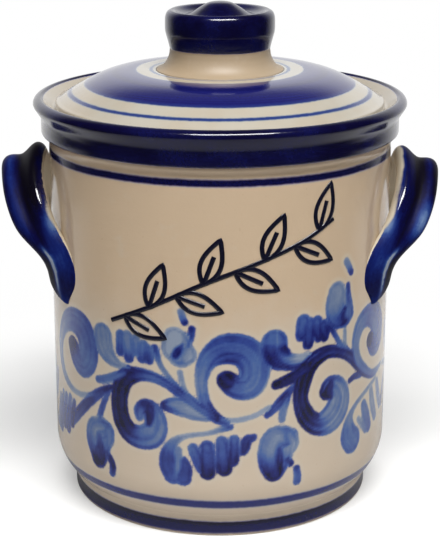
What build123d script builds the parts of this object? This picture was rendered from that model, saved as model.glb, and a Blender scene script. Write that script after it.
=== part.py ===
from build123d import *
import os
from math import cos, radians, sin

# Lidded stoneware crock with two strap handles, in millimetres.
# The origin is on the axis at the level that the foot ring stands on.
# +X points at the middle of the right handle, -Y at the front, +Z up.

# Thrown body
body_radius = 90.0
wall_thickness = 7.5
turn_height = 33.0
foot_radius = 80.2
foot_height = 11.5
foot_edge_round = 1.6
foot_ring_width = 9.0
foot_recess = 3.5
foot_recess_slope = 2.2
floor_thickness = 9.0
inner_turn_radius = 24.0

# Collar and rolled lip
collar_height = 197.2
collar_overhang = 3.8
collar_band = 8.0
collar_edge_round = 1.3
lip_rise = 10.9
lip_overhang = 3.9
rim_top_width = 2.8

# Gallery that the lid rests in
rim_wall = 6.8
gallery_drop = 6.7
gallery_clearance = 1.0
gallery_width = 8.0
throat_depth = 6.0
throat_slope_depth = 8.0

# Lid
lid_edge_thickness = 4.8
lid_edge_round = 1.2
lid_wall = 6.6
dome_height = 14.8
dome_flat_radius = 37.0
flange_clearance = 1.5
flange_width = 6.0
flange_depth = 8.0
flange_round = 1.6

# Knob with its flared neck
neck_foot_radius = 33.6
neck_radius = 26.1
neck_height = 11.0
knob_radius = 28.6
knob_height = 19.9
knob_top_rise = 4.4
knob_wall = 8.4

# Strap handles
handle_collar_gap = 12.2
handle_tip_angle = 30.0
handle_reach = 24.0
handle_rise = 70.2
strap_thickness = 6.4
right_handle_drop = 2.0

# Lip outline: share of the overhang beyond the collar, share of the height from lip base to rim
lip_shares = (
    (0.0, 0.0),
    (0.14, 0.16),
    (0.62, 0.43),
    (1.0, 0.68),
    (0.74, 0.9),
    (0.08, 1.0),
)

# Dome outline: share of the way out from flat to lid edge, share of the dome height above the edge
dome_shares = (
    (0.13, 0.998),
    (0.265, 0.972),
    (0.41, 0.895),
    (0.55, 0.75),
    (0.69, 0.525),
    (0.85, 0.24),
)

# Neck flare: share of the way in from neck foot to waist, share of the neck height
neck_shares = ((0.0, 0.0), (0.42, 0.13), (0.74, 0.38), (0.94, 0.7), (1.0, 1.0))

# Knob outline: share of the knob radius, share of the knob height
knob_shares = (
    (0.944, 0.18),
    (0.979, 0.36),
    (0.997, 0.48),
    (1.0, 0.65),
    (0.993, 0.83),
    (0.958, 0.945),
    (0.895, 1.0),
)

# Dished crown with its blunt point: share of the knob radius, share of the point's rise
crown_shares = (
    (0.825, -0.07),
    (0.717, -0.39),
    (0.612, -0.57),
    (0.507, -0.34),
    (0.367, 0.25),
    (0.227, 0.77),
    (0.105, 0.95),
    (0.0, 1.0),
)

# Edges of a handle strap from its middle to a tail's tip.
# Each edge has a share of the tip angle, of the reach from the wall and of the rise from the tip.
inner_edge_shares = (
    (0.0, 0.085, 1.0),
    (0.2, 0.115, 0.972),
    (0.37, 0.16, 0.91),
    (0.54, 0.17, 0.8),
    (0.69, 0.125, 0.665),
    (0.85, 0.06, 0.535),
    (1.02, -0.015, 0.43),
    (1.16, -0.05, 0.3),
    (1.16, -0.05, 0.14),
    (1.06, -0.095, 0.0),
)
outer_edge_shares = (
    (0.0, 1.02, 0.84),
    (0.15, 0.99, 0.8),
    (0.285, 0.95, 0.715),
    (0.415, 0.875, 0.6),
    (0.54, 0.74, 0.48),
    (0.63, 0.5, 0.385),
    (0.67, 0.275, 0.295),
    (0.64, 0.14, 0.185),
    (0.64, 0.07, 0.07),
    (0.88, -0.08, -0.01),
)

# How far each section is still ribbed, and how thick it is against the strap
ribbed_shares = (1.0, 1.0, 1.0, 1.0, 0.85, 0.3, 0.0, 0.0, 0.0, 0.0)
thickness_shares = (1.0, 1.0, 1.0, 1.0, 1.0, 1.0, 1.0, 0.9, 0.7, 0.3)

# Ribbed face of the strap: share of its width from the inner edge, share of its thickness
ribbed_face_shares = (
    (0.0, 0.0),
    (0.0, 0.5),
    (0.08, 0.95),
    (0.21, 1.0),
    (0.37, 0.8),
    (0.5, 0.7),
    (0.66, 0.94),
    (0.82, 1.07),
    (0.96, 0.7),
    (1.0, 0.0),
)

# Back of the ribbed strap, from the outer edge
ribbed_back_shares = ((0.82, -0.3), (0.5, -0.3), (0.16, -0.34))

# Face of a tail that is pressed on the wall, with one soft ridge
tail_face_shares = (
    (0.0, 0.0),
    (0.03, 0.24),
    (0.14, 0.5),
    (0.27, 0.76),
    (0.39, 0.97),
    (0.48, 0.98),
    (0.62, 0.9),
    (0.8, 0.78),
    (0.96, 0.42),
    (1.0, 0.0),
)

# Back of a tail, from the outer edge
tail_back_shares = ((0.84, -0.5), (0.5, -0.6), (0.14, -0.5))

# Where the points lie along the face and along the back: share of the way round
face_place_shares = (0.0, 0.09, 0.19, 0.295, 0.42, 0.51, 0.64, 0.76, 0.88, 1.0)
back_place_shares = (0.0, 0.19, 0.5, 0.81, 1.0)

# How full the two edges are rounded: share of the strap's width
face_fullness_share = 1.35
back_fullness_share = 1.0

inner_radius = body_radius - wall_thickness
floor_height = foot_recess + floor_thickness
collar_radius = body_radius + collar_overhang
lip_base_height = collar_height + collar_band
rim_height = lip_base_height + lip_rise
gallery_height = rim_height - gallery_drop
gallery_radius = collar_radius - rim_wall
throat_radius = gallery_radius - gallery_width
lid_radius = gallery_radius - gallery_clearance
lid_edge_height = gallery_height + lid_edge_thickness
dome_top = lid_edge_height + dome_height
neck_top = dome_top + neck_height
handle_tip_height = collar_height - handle_collar_gap - handle_rise


def revolved(edges):
    """Turn a closed outline in the XZ plane about the pot's axis."""
    return revolve(make_face(edges), Axis.Z)


def outline_point(radius, height):
    """Place a point of a turned outline."""
    return (radius, 0, height)


def corner_arc(start, end, bulge_radius, bulge_height):
    """Round a square corner whose sharp point is given, between two points beside it."""
    share = cos(radians(45))
    away_radius = start[0] + end[0] - bulge_radius
    away_height = start[2] + end[2] - bulge_height
    mid_radius = away_radius + (bulge_radius - away_radius) * share
    mid_height = away_height + (bulge_height - away_height) * share
    return ThreePointArc(start, outline_point(mid_radius, mid_height), end)


def lip_points():
    """Points of the rolled lip, from the collar's top to the rim's crown."""
    points = []
    for out_share, up_share in lip_shares:
        radius = collar_radius + out_share * lip_overhang
        points.append(outline_point(radius, lip_base_height + up_share * lip_rise))
    return points


def crock():
    """Thrown body with foot ring, turned-in bottom, collar, rolled lip and lid gallery."""
    ring_inside = outline_point(foot_radius - foot_ring_width, 0)
    ring_outside = outline_point(foot_radius - foot_edge_round, 0)
    foot_side = outline_point(foot_radius, foot_edge_round)
    foot_top = outline_point(foot_radius, foot_height)
    wall_foot = outline_point(body_radius, turn_height)
    wall_top = outline_point(body_radius, collar_height)
    collar_under = outline_point(collar_radius - collar_edge_round, collar_height)
    collar_side = outline_point(collar_radius, collar_height + collar_edge_round)
    lip = lip_points()
    crown_inside = outline_point(lip[-1][0] - rim_top_width / 2, rim_height - rim_top_width / 4)
    rim_inside = outline_point(gallery_radius, gallery_height)
    ledge = outline_point(throat_radius, gallery_height)
    throat = outline_point(throat_radius, gallery_height - throat_depth)
    throat_foot = outline_point(inner_radius, gallery_height - throat_depth - throat_slope_depth)
    inner_wall_foot = outline_point(inner_radius, floor_height + inner_turn_radius)
    floor_edge = outline_point(inner_radius - inner_turn_radius, floor_height)
    recess_edge = outline_point(foot_radius - foot_ring_width - foot_recess_slope, foot_recess)
    edges = [
        Line(ring_inside, ring_outside),
        corner_arc(ring_outside, foot_side, foot_radius, 0),
        Line(foot_side, foot_top),
        TangentArc(wall_foot, foot_top, tangent=(0, 0, -1)),
        Line(wall_foot, wall_top),
        Line(wall_top, collar_under),
        corner_arc(collar_under, collar_side, collar_radius, collar_height),
        Line(collar_side, lip[0]),
        Spline(lip),
        Spline(lip[-1], crown_inside, tangents=((-1, 0, 0), (-1, 0, -1))),
        Line(crown_inside, rim_inside),
        Polyline(rim_inside, ledge, throat, throat_foot, inner_wall_foot),
        corner_arc(inner_wall_foot, floor_edge, inner_radius, floor_height),
        Polyline(floor_edge, outline_point(0, floor_height), outline_point(0, foot_recess)),
        Polyline(outline_point(0, foot_recess), recess_edge, ring_inside),
    ]
    return revolved(edges)


def dome_points():
    """Points down the dome, from the flat to near the lid's edge."""
    slope_width = lid_radius - dome_flat_radius
    points = [outline_point(dome_flat_radius, dome_top)]
    for out_share, up_share in dome_shares:
        height = lid_edge_height + up_share * dome_height
        points.append(outline_point(dome_flat_radius + out_share * slope_width, height))
    return points


def lid():
    """Domed lid with its locating flange, open into the hollow knob."""
    top = dome_points()
    flange_radius = throat_radius - flange_clearance
    flange_inside = flange_radius - flange_width
    flange_foot = gallery_height - flange_depth
    eye_radius = neck_radius - knob_wall
    top_edge = outline_point(lid_radius - lid_edge_round, lid_edge_height)
    side_top = outline_point(lid_radius, lid_edge_height - lid_edge_round)
    side_foot = outline_point(lid_radius, gallery_height)
    flange_top = outline_point(flange_radius, gallery_height)
    flange_side = outline_point(flange_radius, flange_foot + flange_round)
    flange_under = outline_point(flange_radius - flange_round, flange_foot)
    under_flat = outline_point(dome_flat_radius, dome_top - lid_wall)
    under_mid = outline_point((dome_flat_radius + flange_inside) / 2, gallery_height + dome_height / 2)
    edges = [
        Line(outline_point(eye_radius, dome_top), top[0]),
        Spline(top + [top_edge], tangents=((1, 0, 0), (1, 0, -1 / 2))),
        corner_arc(top_edge, side_top, lid_radius, lid_edge_height),
        Polyline(side_top, side_foot, flange_top, flange_side),
        corner_arc(flange_side, flange_under, flange_radius, flange_foot),
        Polyline(
            flange_under,
            outline_point(flange_inside, flange_foot),
            outline_point(flange_inside, gallery_height),
        ),
        ThreePointArc(outline_point(flange_inside, gallery_height), under_mid, under_flat),
        Polyline(under_flat, outline_point(eye_radius, dome_top - lid_wall)),
        Line(outline_point(eye_radius, dome_top - lid_wall), outline_point(eye_radius, dome_top)),
    ]
    return revolved(edges)


def lid_knob():
    """Flared neck and button knob with a dished, pointed top, hollow from below."""
    neck = []
    for in_share, up_share in neck_shares:
        radius = neck_foot_radius + in_share * (neck_radius - neck_foot_radius)
        neck.append(outline_point(radius, dome_top + up_share * neck_height))
    side = [neck[-1]]
    for out_share, up_share in knob_shares:
        side.append(outline_point(out_share * knob_radius, neck_top + up_share * knob_height))
    crown = [side[-1]]
    for out_share, up_share in crown_shares:
        height = neck_top + knob_height + up_share * knob_top_rise
        crown.append(outline_point(out_share * knob_radius, height))
    hollow_radius = neck_radius - knob_wall
    hollow_top = neck_top + knob_height - knob_wall
    hollow_side = outline_point(hollow_radius, hollow_top - hollow_radius / 2)
    hollow_mid = outline_point(hollow_radius * cos(radians(45)), hollow_top - hollow_radius / 6)
    edges = [
        Spline(neck),
        Spline(side),
        Spline(crown, tangents=((-1, 0, 1 / 4), (-1, 0, 0))),
        Line(crown[-1], outline_point(0, hollow_top)),
        ThreePointArc(outline_point(0, hollow_top), hollow_mid, hollow_side),
        Line(hollow_side, outline_point(hollow_radius, dome_top)),
        Line(outline_point(hollow_radius, dome_top), neck[0]),
    ]
    return revolved(edges)


def edge_point(shares, drop, front):
    """Place a point of a strap's edge beside the wall, on the front or the back half."""
    angle = radians(shares[0] * handle_tip_angle) * front
    radius = body_radius + shares[1] * handle_reach
    height = handle_tip_height + shares[2] * (handle_rise - drop)
    return Vector(radius * cos(angle), -radius * sin(angle), height)


def strap_edges(drop):
    """Both edges of the strap from the front tail over the arch to the back tail."""
    inner = [edge_point(shares, drop, 1) for shares in reversed(inner_edge_shares)]
    outer = [edge_point(shares, drop, 1) for shares in reversed(outer_edge_shares)]
    inner += [edge_point(shares, drop, -1) for shares in inner_edge_shares[1:]]
    outer += [edge_point(shares, drop, -1) for shares in outer_edge_shares[1:]]
    return inner, outer


def section_points(inner, across, outward, ribbed_shares_table, tail_shares_table, ribbed):
    """Points of one side of a strap's section, part ribbed and part tail."""
    points = []
    for rib, tail in zip(ribbed_shares_table, tail_shares_table):
        width_share = rib[0] * ribbed + tail[0] * (1 - ribbed)
        height_share = rib[1] * ribbed + tail[1] * (1 - ribbed)
        points.append(inner + across * width_share + outward * height_share)
    return points


def section_side(points, places, start):
    """Smooth line through a side's points that leaves one edge and meets the other alike."""
    return Edge.make_spline(points, tangents=(start, -start), parameters=places, scale=False)


def strap_section(inner, outer, along, ribbed, thickness):
    """Closed section of the strap between its two edges, square to the way along."""
    across = outer - inner
    normal = across.cross(along).normalized()
    depth = normal * thickness
    face = section_points(inner, across, depth, ribbed_face_shares, tail_face_shares, ribbed)
    back = section_points(inner, across, depth, ribbed_back_shares, tail_back_shares, ribbed)
    rise = normal * across.length * face_fullness_share
    fall = normal * across.length * back_fullness_share
    over = section_side(face, face_place_shares, rise)
    under = section_side([outer] + back + [inner], back_place_shares, -fall)
    return Wire([over, under])


def handle(drop):
    """Pulled strap arched beside the wall, its tails pressed on in front and behind."""
    inner, outer = strap_edges(drop)
    ribbed = ribbed_shares[:0:-1] + ribbed_shares
    thickness = thickness_shares[:0:-1] + thickness_shares
    middles = [(a + b) / 2 for a, b in zip(inner, outer)]
    last = len(middles) - 1
    sections = []
    for index in range(len(middles)):
        along = middles[min(index + 1, last)] - middles[max(index - 1, 0)]
        size = strap_thickness * thickness[index]
        sections.append(strap_section(inner[index], outer[index], along, ribbed[index], size))
    strap = Solid.make_loft(sections)
    wall = Cylinder(body_radius, collar_height, align=(Align.CENTER, Align.CENTER, Align.MIN))
    return strap - wall


parts = {
    "crock": crock(),
    "lid": lid(),
    "lid_knob": lid_knob(),
    "handle_right": handle(right_handle_drop),
    "handle_left": mirror(handle(0), Plane.YZ),
}

os.makedirs("parts", exist_ok=True)
for name, shape in parts.items():
    export_step(shape, f"parts/{name}.step")
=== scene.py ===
"""Looks of a lidded salt-glazed stoneware crock with cobalt brushwork, on a pale studio floor."""

import logging
from dataclasses import dataclass
from enum import Enum
from math import atan2, cos, hypot, pi, radians, sin

import bmesh
import bpy
import numpy as np
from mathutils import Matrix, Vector


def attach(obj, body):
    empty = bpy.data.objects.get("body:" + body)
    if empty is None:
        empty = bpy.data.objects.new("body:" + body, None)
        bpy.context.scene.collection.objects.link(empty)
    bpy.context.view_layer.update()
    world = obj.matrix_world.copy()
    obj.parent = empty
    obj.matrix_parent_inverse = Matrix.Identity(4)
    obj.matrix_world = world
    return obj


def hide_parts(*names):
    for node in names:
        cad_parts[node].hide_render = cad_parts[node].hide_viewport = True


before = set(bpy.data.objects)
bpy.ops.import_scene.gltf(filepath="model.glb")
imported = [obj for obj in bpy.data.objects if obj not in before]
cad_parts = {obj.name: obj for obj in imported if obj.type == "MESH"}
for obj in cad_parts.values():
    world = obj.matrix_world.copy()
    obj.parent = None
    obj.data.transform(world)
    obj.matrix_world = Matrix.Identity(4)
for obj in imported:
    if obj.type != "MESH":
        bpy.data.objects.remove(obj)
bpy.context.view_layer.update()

MM = 0.001
SEAM_GAP = 0.002
LOG = logging.getLogger("crock")

Point = tuple[float, float]
Triple = tuple[float, float, float]
Colour = tuple[float, float, float]
Stops = tuple[tuple[float, Colour], ...]


class Slot(Enum):
    """Names of the material slots of the pieces' finishes."""

    BODY = "salt_glazed_body"
    HANDLES = "cobalt_handles"
    LID = "salt_glazed_lid"
    KNOB = "cobalt_knob"


class Body(Enum):
    """Bodies that pieces move with."""

    CROCK = "crock"
    LID = "lid"


class Mark(Enum):
    """Numbers that a mesh carries at its vertices for its glaze."""

    EDGE = "paint_edge"
    TONE = "paint_tone"
    DULL = "paint_dull"
    ACROSS = "strap_across"
    ALONG = "strap_along"


def linear(red: int, green: int, blue: int) -> Colour:
    """Turn a colour written in 8-bit display values into scene values.

    Args:
        red: Display red, 0 to 255.
        green: Display green.
        blue: Display blue.

    Returns:
        The same colour in linear light.
    """
    channels = []
    for value in (red, green, blue):
        share = value / 255
        channels.append(share / 12.92 if share <= 0.04045 else ((share + 0.055) / 1.055) ** 2.4)
    return (channels[0], channels[1], channels[2])


def opaque(colour: Colour) -> tuple[float, float, float, float]:
    """Write a colour as a socket takes it."""
    return (*colour, 1.0)


@dataclass(frozen=True)
class Drift:
    """A cloudy change over a surface: how fine it is, how many layers it has and how strong it is."""

    fineness: float
    layers: float
    strength: float = 1.0


@dataclass(frozen=True)
class Veil:
    """A smooth step, from nothing at one value to its full strength at another."""

    start: float
    full: float
    strength: float = 1.0


class Value:
    """A number that changes over a surface, held by a shader socket."""

    def __init__(self, tree: "ShaderTree", socket: bpy.types.NodeSocket) -> None:
        """Keep the tree that the socket belongs to."""
        self.tree = tree
        self.socket = socket

    def __add__(self, other: "Number") -> "Value":
        """Add a number or another value."""
        return self.tree.maths("ADD", self, other)

    __radd__ = __add__

    def __sub__(self, other: "Number") -> "Value":
        """Take a number or another value away."""
        return self.tree.maths("SUBTRACT", self, other)

    def __rsub__(self, other: "Number") -> "Value":
        """Take this value away from a number."""
        return self.tree.maths("SUBTRACT", other, self)

    def __mul__(self, other: "Number") -> "Value":
        """Multiply by a number or another value."""
        return self.tree.maths("MULTIPLY", self, other)

    __rmul__ = __mul__

    def larger(self, other: "Number") -> "Value":
        """Take the larger of this and another value."""
        return self.tree.maths("MAXIMUM", self, other)

    def smooth(self, low: float, high: float) -> "Value":
        """Step smoothly from 0 at low to 1 at high.

        Args:
            low: Value where the step begins.
            high: Value where it ends.

        Returns:
            The step.
        """
        settings = {"interpolation_type": "SMOOTHSTEP"}
        inputs = {"Value": self, "From Min": low, "From Max": high}
        return Value(self.tree, self.tree.node("ShaderNodeMapRange", settings, inputs).outputs[0])

    def through(self, veil: Veil) -> "Value":
        """Step as a veil says."""
        step = self.smooth(veil.start, veil.full)
        return step if veil.strength == 1 else step * veil.strength

    def past(self, limit: float, soft: float) -> "Value":
        """Give 0 below a limit and 1 above it, with a soft edge."""
        return self.smooth(limit - soft, limit + soft)

    def band(self, low: float, high: float, soft: float) -> "Value":
        """Give 1 between two limits and 0 outside them, with soft edges."""
        return self.past(low, soft) * (1 - self.past(high, soft))


Number = float | Value


class NodeTree:
    """Nodes of one tree, all made through one method."""

    def __init__(self, node_tree: bpy.types.NodeTree) -> None:
        """Keep the tree that the nodes go into."""
        self.node_tree = node_tree

    def node(self, kind: str, settings: dict | None = None, inputs: dict | None = None) -> bpy.types.Node:
        """Make a node, set it up and feed its sockets.

        Args:
            kind: Blender's name of the node type.
            settings: Properties, set first. A ramp takes its stops as (place, colour) pairs.
            inputs: Values, sockets or constants by socket name or index.

        Returns:
            The new node.
        """
        made = self.node_tree.nodes.new(kind)
        for name, value in (settings or {}).items():
            if name == "stops":
                self.set_stops(made.color_ramp, value)
            else:
                setattr(made, name, value)
        for key, value in (inputs or {}).items():
            if isinstance(value, Value):
                value = value.socket
            if isinstance(value, bpy.types.NodeSocket):
                self.node_tree.links.new(value, made.inputs[key])
            else:
                made.inputs[key].default_value = value
        return made

    @staticmethod
    def set_stops(ramp: bpy.types.ColorRamp, stops: Stops) -> None:
        """Give a colour ramp its stops.

        Args:
            ramp: The ramp, which comes with two stops.
            stops: Place and colour of each stop, in order.
        """
        while len(ramp.elements) < len(stops):
            ramp.elements.new(1.0)
        for element, (place, colour) in zip(ramp.elements, stops):
            element.position = place
            element.color = opaque(colour)

    def vector(self, operation: str, first: object, second: object = (0.0, 0.0, 0.0)) -> bpy.types.Node:
        """Combine two vectors, or measure one."""
        return self.node("ShaderNodeVectorMath", {"operation": operation}, {0: first, 1: second})


class ShaderTree(NodeTree):
    """Nodes of a material or of the world."""

    def __init__(self, node_tree: bpy.types.NodeTree) -> None:
        """Start with an empty tree."""
        super().__init__(node_tree)
        node_tree.nodes.clear()

    def maths(self, operation: str, first: Number, second: Number) -> Value:
        """Combine two numbers, of which one at least is a value."""
        made = self.node("ShaderNodeMath", {"operation": operation}, {0: first, 1: second})
        return Value(self, made.outputs[0])

    def mark(self, mark: Mark) -> Value:
        """Read a number that the mesh carries."""
        settings = {"attribute_type": "GEOMETRY", "attribute_name": mark.value}
        return Value(self, self.node("ShaderNodeAttribute", settings).outputs["Fac"])

    def scaled(self, vector: bpy.types.NodeSocket, scale: Triple) -> bpy.types.NodeSocket:
        """Stretch a vector along each axis."""
        return self.vector("MULTIPLY", vector, scale).outputs[0]

    def length(self, vector: bpy.types.NodeSocket) -> Value:
        """Measure a vector."""
        return Value(self, self.vector("LENGTH", vector).outputs["Value"])

    def parts(self, vector: bpy.types.NodeSocket) -> list[Value]:
        """Take a vector apart."""
        made = self.node("ShaderNodeSeparateXYZ", None, {0: vector})
        return [Value(self, socket) for socket in made.outputs]

    def noise(self, vector: bpy.types.NodeSocket, drift: Drift) -> Value:
        """Drift about 0, by up to half the drift's strength to each side.

        Args:
            vector: Where the surface is.
            drift: How fine and how strong it is.

        Returns:
            The drift.
        """
        inputs = {"Vector": vector, "Scale": drift.fineness, "Detail": drift.layers}
        cloud = Value(self, self.node("ShaderNodeTexNoise", None, inputs).outputs[0]) - 0.5
        return cloud if drift.strength == 1 else cloud * drift.strength

    def mix(self, factor: Number, first: object, second: object) -> bpy.types.NodeSocket:
        """Blend two colours."""
        inputs = {0: factor, 6: first, 7: second}
        return self.node("ShaderNodeMix", {"data_type": "RGBA"}, inputs).outputs[2]

    def ramp(self, value: Value, stops: Stops) -> bpy.types.NodeSocket:
        """Turn a value into a colour."""
        return self.node("ShaderNodeValToRGB", {"stops": stops}, {0: value}).outputs[0]


@dataclass(frozen=True)
class Place:
    """Where a point of the surface is, in millimetres about the pot's axis."""

    vector: bpy.types.NodeSocket
    height: Value
    radius: Value

    def nowhere(self) -> Value:
        """Give 0 all over."""
        return self.height * 0


@dataclass(frozen=True)
class Ring:
    """A ring of cobalt laid while the pot turns, between two heights or two distances from the axis."""

    low: float
    high: float
    soft: float
    tone: float

    def lay(self, across: Value, where: Number = 1.0) -> tuple[Value, Value]:
        """Lay the ring.

        Args:
            across: Height or distance from the axis, whichever bounds the ring.
            where: Where it may lie.

        Returns:
            Its cover and its tone.
        """
        cover = across.band(self.low, self.high, self.soft) * where
        return cover, cover * self.tone


@dataclass(frozen=True)
class LoadedRing(Ring):
    """A ring laid with a loaded brush, which runs deeper in the middle than at its edges."""

    core_soft: float
    core_tone: float

    def lay(self, across: Value, where: Number = 1.0) -> tuple[Value, Value]:
        """Lay the ring and its deeper core.

        Args:
            across: Height or distance from the axis, whichever bounds the ring.
            where: Where it may lie.

        Returns:
            Its cover and its tone.
        """
        cover, tone = super().lay(across, where)
        core = across.band(self.low, self.high, self.core_soft) * where
        return cover, tone + core * self.core_tone


@dataclass(frozen=True)
class Glaze:
    """Salt glaze over pale clay, with cobalt brushed on under it.

    A drift's fineness counts its clouds per millimetre. The limits of a veil that reads the paint's edge are
    millimetres inside it.
    """

    name: str
    clay: Colour = linear(200, 183, 161)
    clay_warm: Colour = linear(205, 169, 132)
    clay_grey: Colour = linear(194, 184, 169)
    halo: Colour = linear(189, 181, 164)
    fleck: Colour = linear(150, 122, 92)
    bare: Colour = linear(186, 168, 142)
    washes: Stops = (
        (0.0, linear(128, 139, 157)),
        (0.2, linear(98, 114, 145)),
        (0.4, linear(65, 91, 145)),
        (0.6, linear(43, 62, 131)),
        (0.8, linear(22, 28, 96)),
        (1.0, linear(6, 4, 40)),
    )
    gloss: float = 0.16
    coat: float = 0.15
    coat_gloss: float = 0.05
    dull_spread: float = 0.3
    bare_roughness: float = 0.75
    shine: float = 0.5
    peel: Drift = Drift(0.62, 3)
    peel_depth: float = 0.05
    peel_gloss: float = 0.06
    ripple: Drift = Drift(1.0, 2, 0.12)
    ripple_stretch: Triple = (0.012, 0.012, 0.16)
    fire: Drift = Drift(0.018, 3, 1.6)
    least_warmth: float = 0.5
    cloud: Drift = Drift(0.11, 4)
    cloud_heat: float = 0.4
    warm_veil: Veil = Veil(0.1, 0.9)
    grey_veil: Veil = Veil(0.0667, 0.4667, 0.5)
    iron: Drift = Drift(0.9, 2)
    fleck_veil: Veil = Veil(0.2, 0.3, 0.35)
    grain: Drift = Drift(0.75, 5, 0.09)
    hand: Drift = Drift(0.02, 2, 1.1)
    tremor: Drift = Drift(0.4, 2, 0.5)
    crisp: float = 0.3

    def place(self, tree: ShaderTree) -> Place:
        """Measure the surface from the pot's axis, in millimetres.

        Args:
            tree: The material's nodes.

        Returns:
            The place of each point.
        """
        coordinates = tree.node("ShaderNodeTexCoord").outputs["Object"]
        vector = tree.scaled(coordinates, (1 / MM, 1 / MM, 1 / MM))
        return Place(vector, tree.parts(vector)[2], tree.length(tree.scaled(vector, (1, 1, 0))))

    def paint(self, tree: ShaderTree, place: Place) -> tuple[Value, Value, Value]:
        """Say where cobalt lies.

        Args:
            tree: The material's nodes.
            place: Where the surface is.

        Returns:
            Cover from 0 to 1, tone from pale to night blue, and how near the cobalt's edge is outside it.
        """
        raise NotImplementedError

    def waver(self, tree: ShaderTree, place: Place) -> Value:
        """Let turned lines waver, in millimetres, as a brush held by hand does."""
        return tree.noise(place.vector, self.hand) + tree.noise(place.vector, self.tremor)

    def unglazed(self, tree: ShaderTree, place: Place) -> Value:
        """Say where the clay stays bare."""
        return place.nowhere()

    def dulled(self, tree: ShaderTree, place: Place) -> Value:
        """Say where the glaze has lost its shine."""
        return place.nowhere()

    def warmth(self, tree: ShaderTree, place: Place) -> Value:
        """Say how warm the fire left the clay."""
        return tree.noise(place.vector, self.fire) + self.least_warmth

    def clay_colour(self, tree: ShaderTree, place: Place) -> bpy.types.NodeSocket:
        """Give the glazed clay its drift between warm and grey, and its fine iron flecks.

        Args:
            tree: The material's nodes.
            place: Where the surface is.

        Returns:
            The clay's colour.
        """
        cloud = tree.noise(place.vector, self.cloud)
        heat = (self.warmth(tree, place) + cloud * self.cloud_heat).through(self.warm_veil)
        warm = tree.mix(heat, opaque(self.clay), opaque(self.clay_warm))
        grey = tree.mix(cloud.through(self.grey_veil), warm, opaque(self.clay_grey))
        flecks = tree.noise(place.vector, self.iron).through(self.fleck_veil)
        return tree.mix(flecks, grey, opaque(self.fleck))

    def material(self) -> bpy.types.Material:
        """Build the material.

        Returns:
            The finished material.
        """
        material = bpy.data.materials.new(self.name)
        material.use_nodes = True
        tree = ShaderTree(material.node_tree)
        place = self.place(tree)
        cover, tone, halo = self.paint(tree, place)
        wash = tree.ramp(tone + tree.noise(place.vector, self.grain), self.washes)
        bare = self.unglazed(tree, place)
        dull = self.dulled(tree, place)
        clay = tree.mix(halo, self.clay_colour(tree, place), opaque(self.halo))
        painted = tree.mix(cover, clay, wash)
        peel = tree.noise(place.vector, self.peel)
        ripple = tree.noise(tree.scaled(place.vector, self.ripple_stretch), self.ripple)
        height = peel * self.peel_depth + ripple
        bump = tree.node("ShaderNodeBump", None, {"Strength": 1.0, "Distance": MM, "Height": height})
        worn = bare * (self.bare_roughness - self.gloss) + dull * self.dull_spread
        inputs = {
            "Base Color": tree.mix(bare, painted, opaque(self.bare)),
            "Roughness": peel * self.peel_gloss + self.gloss + worn,
            "Normal": bump.outputs[0],
            "Coat Weight": (1 - bare) * (1 - dull) * self.coat,
            "Coat Roughness": self.coat_gloss,
            "Specular IOR Level": self.shine,
        }
        shader = tree.node("ShaderNodeBsdfPrincipled", None, inputs)
        tree.node("ShaderNodeOutputMaterial", None, {"Surface": shader.outputs[0]})
        return material


@dataclass(frozen=True)
class BrushedGlaze(Glaze):
    """A glaze whose brushwork the mesh carries as numbers."""

    edge_drift: Drift = Drift(0.55, 3, 0.9)
    wash_drift: Drift = Drift(0.13, 3, 0.34)
    paint_veil: Veil = Veil(-1.2, 0.1)
    thin_veil: Veil = Veil(-0.2, 1.6, 0.2)
    halo_veil: Veil = Veil(-3.8, -0.8, 0.45)

    def paint(self, tree: ShaderTree, place: Place) -> tuple[Value, Value, Value]:
        """Read the brushwork, with a ragged edge and a wash that thins towards it.

        Args:
            tree: The material's nodes.
            place: Where the surface is.

        Returns:
            Cover, tone and how near the cobalt's edge is, as for any glaze.
        """
        edge = tree.mark(Mark.EDGE) + tree.noise(place.vector, self.edge_drift)
        wash = tree.mark(Mark.TONE) + tree.noise(place.vector, self.wash_drift)
        tone = wash + edge.through(self.thin_veil) - self.thin_veil.strength
        return edge.through(self.paint_veil), tone, edge.through(self.halo_veil)


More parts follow.
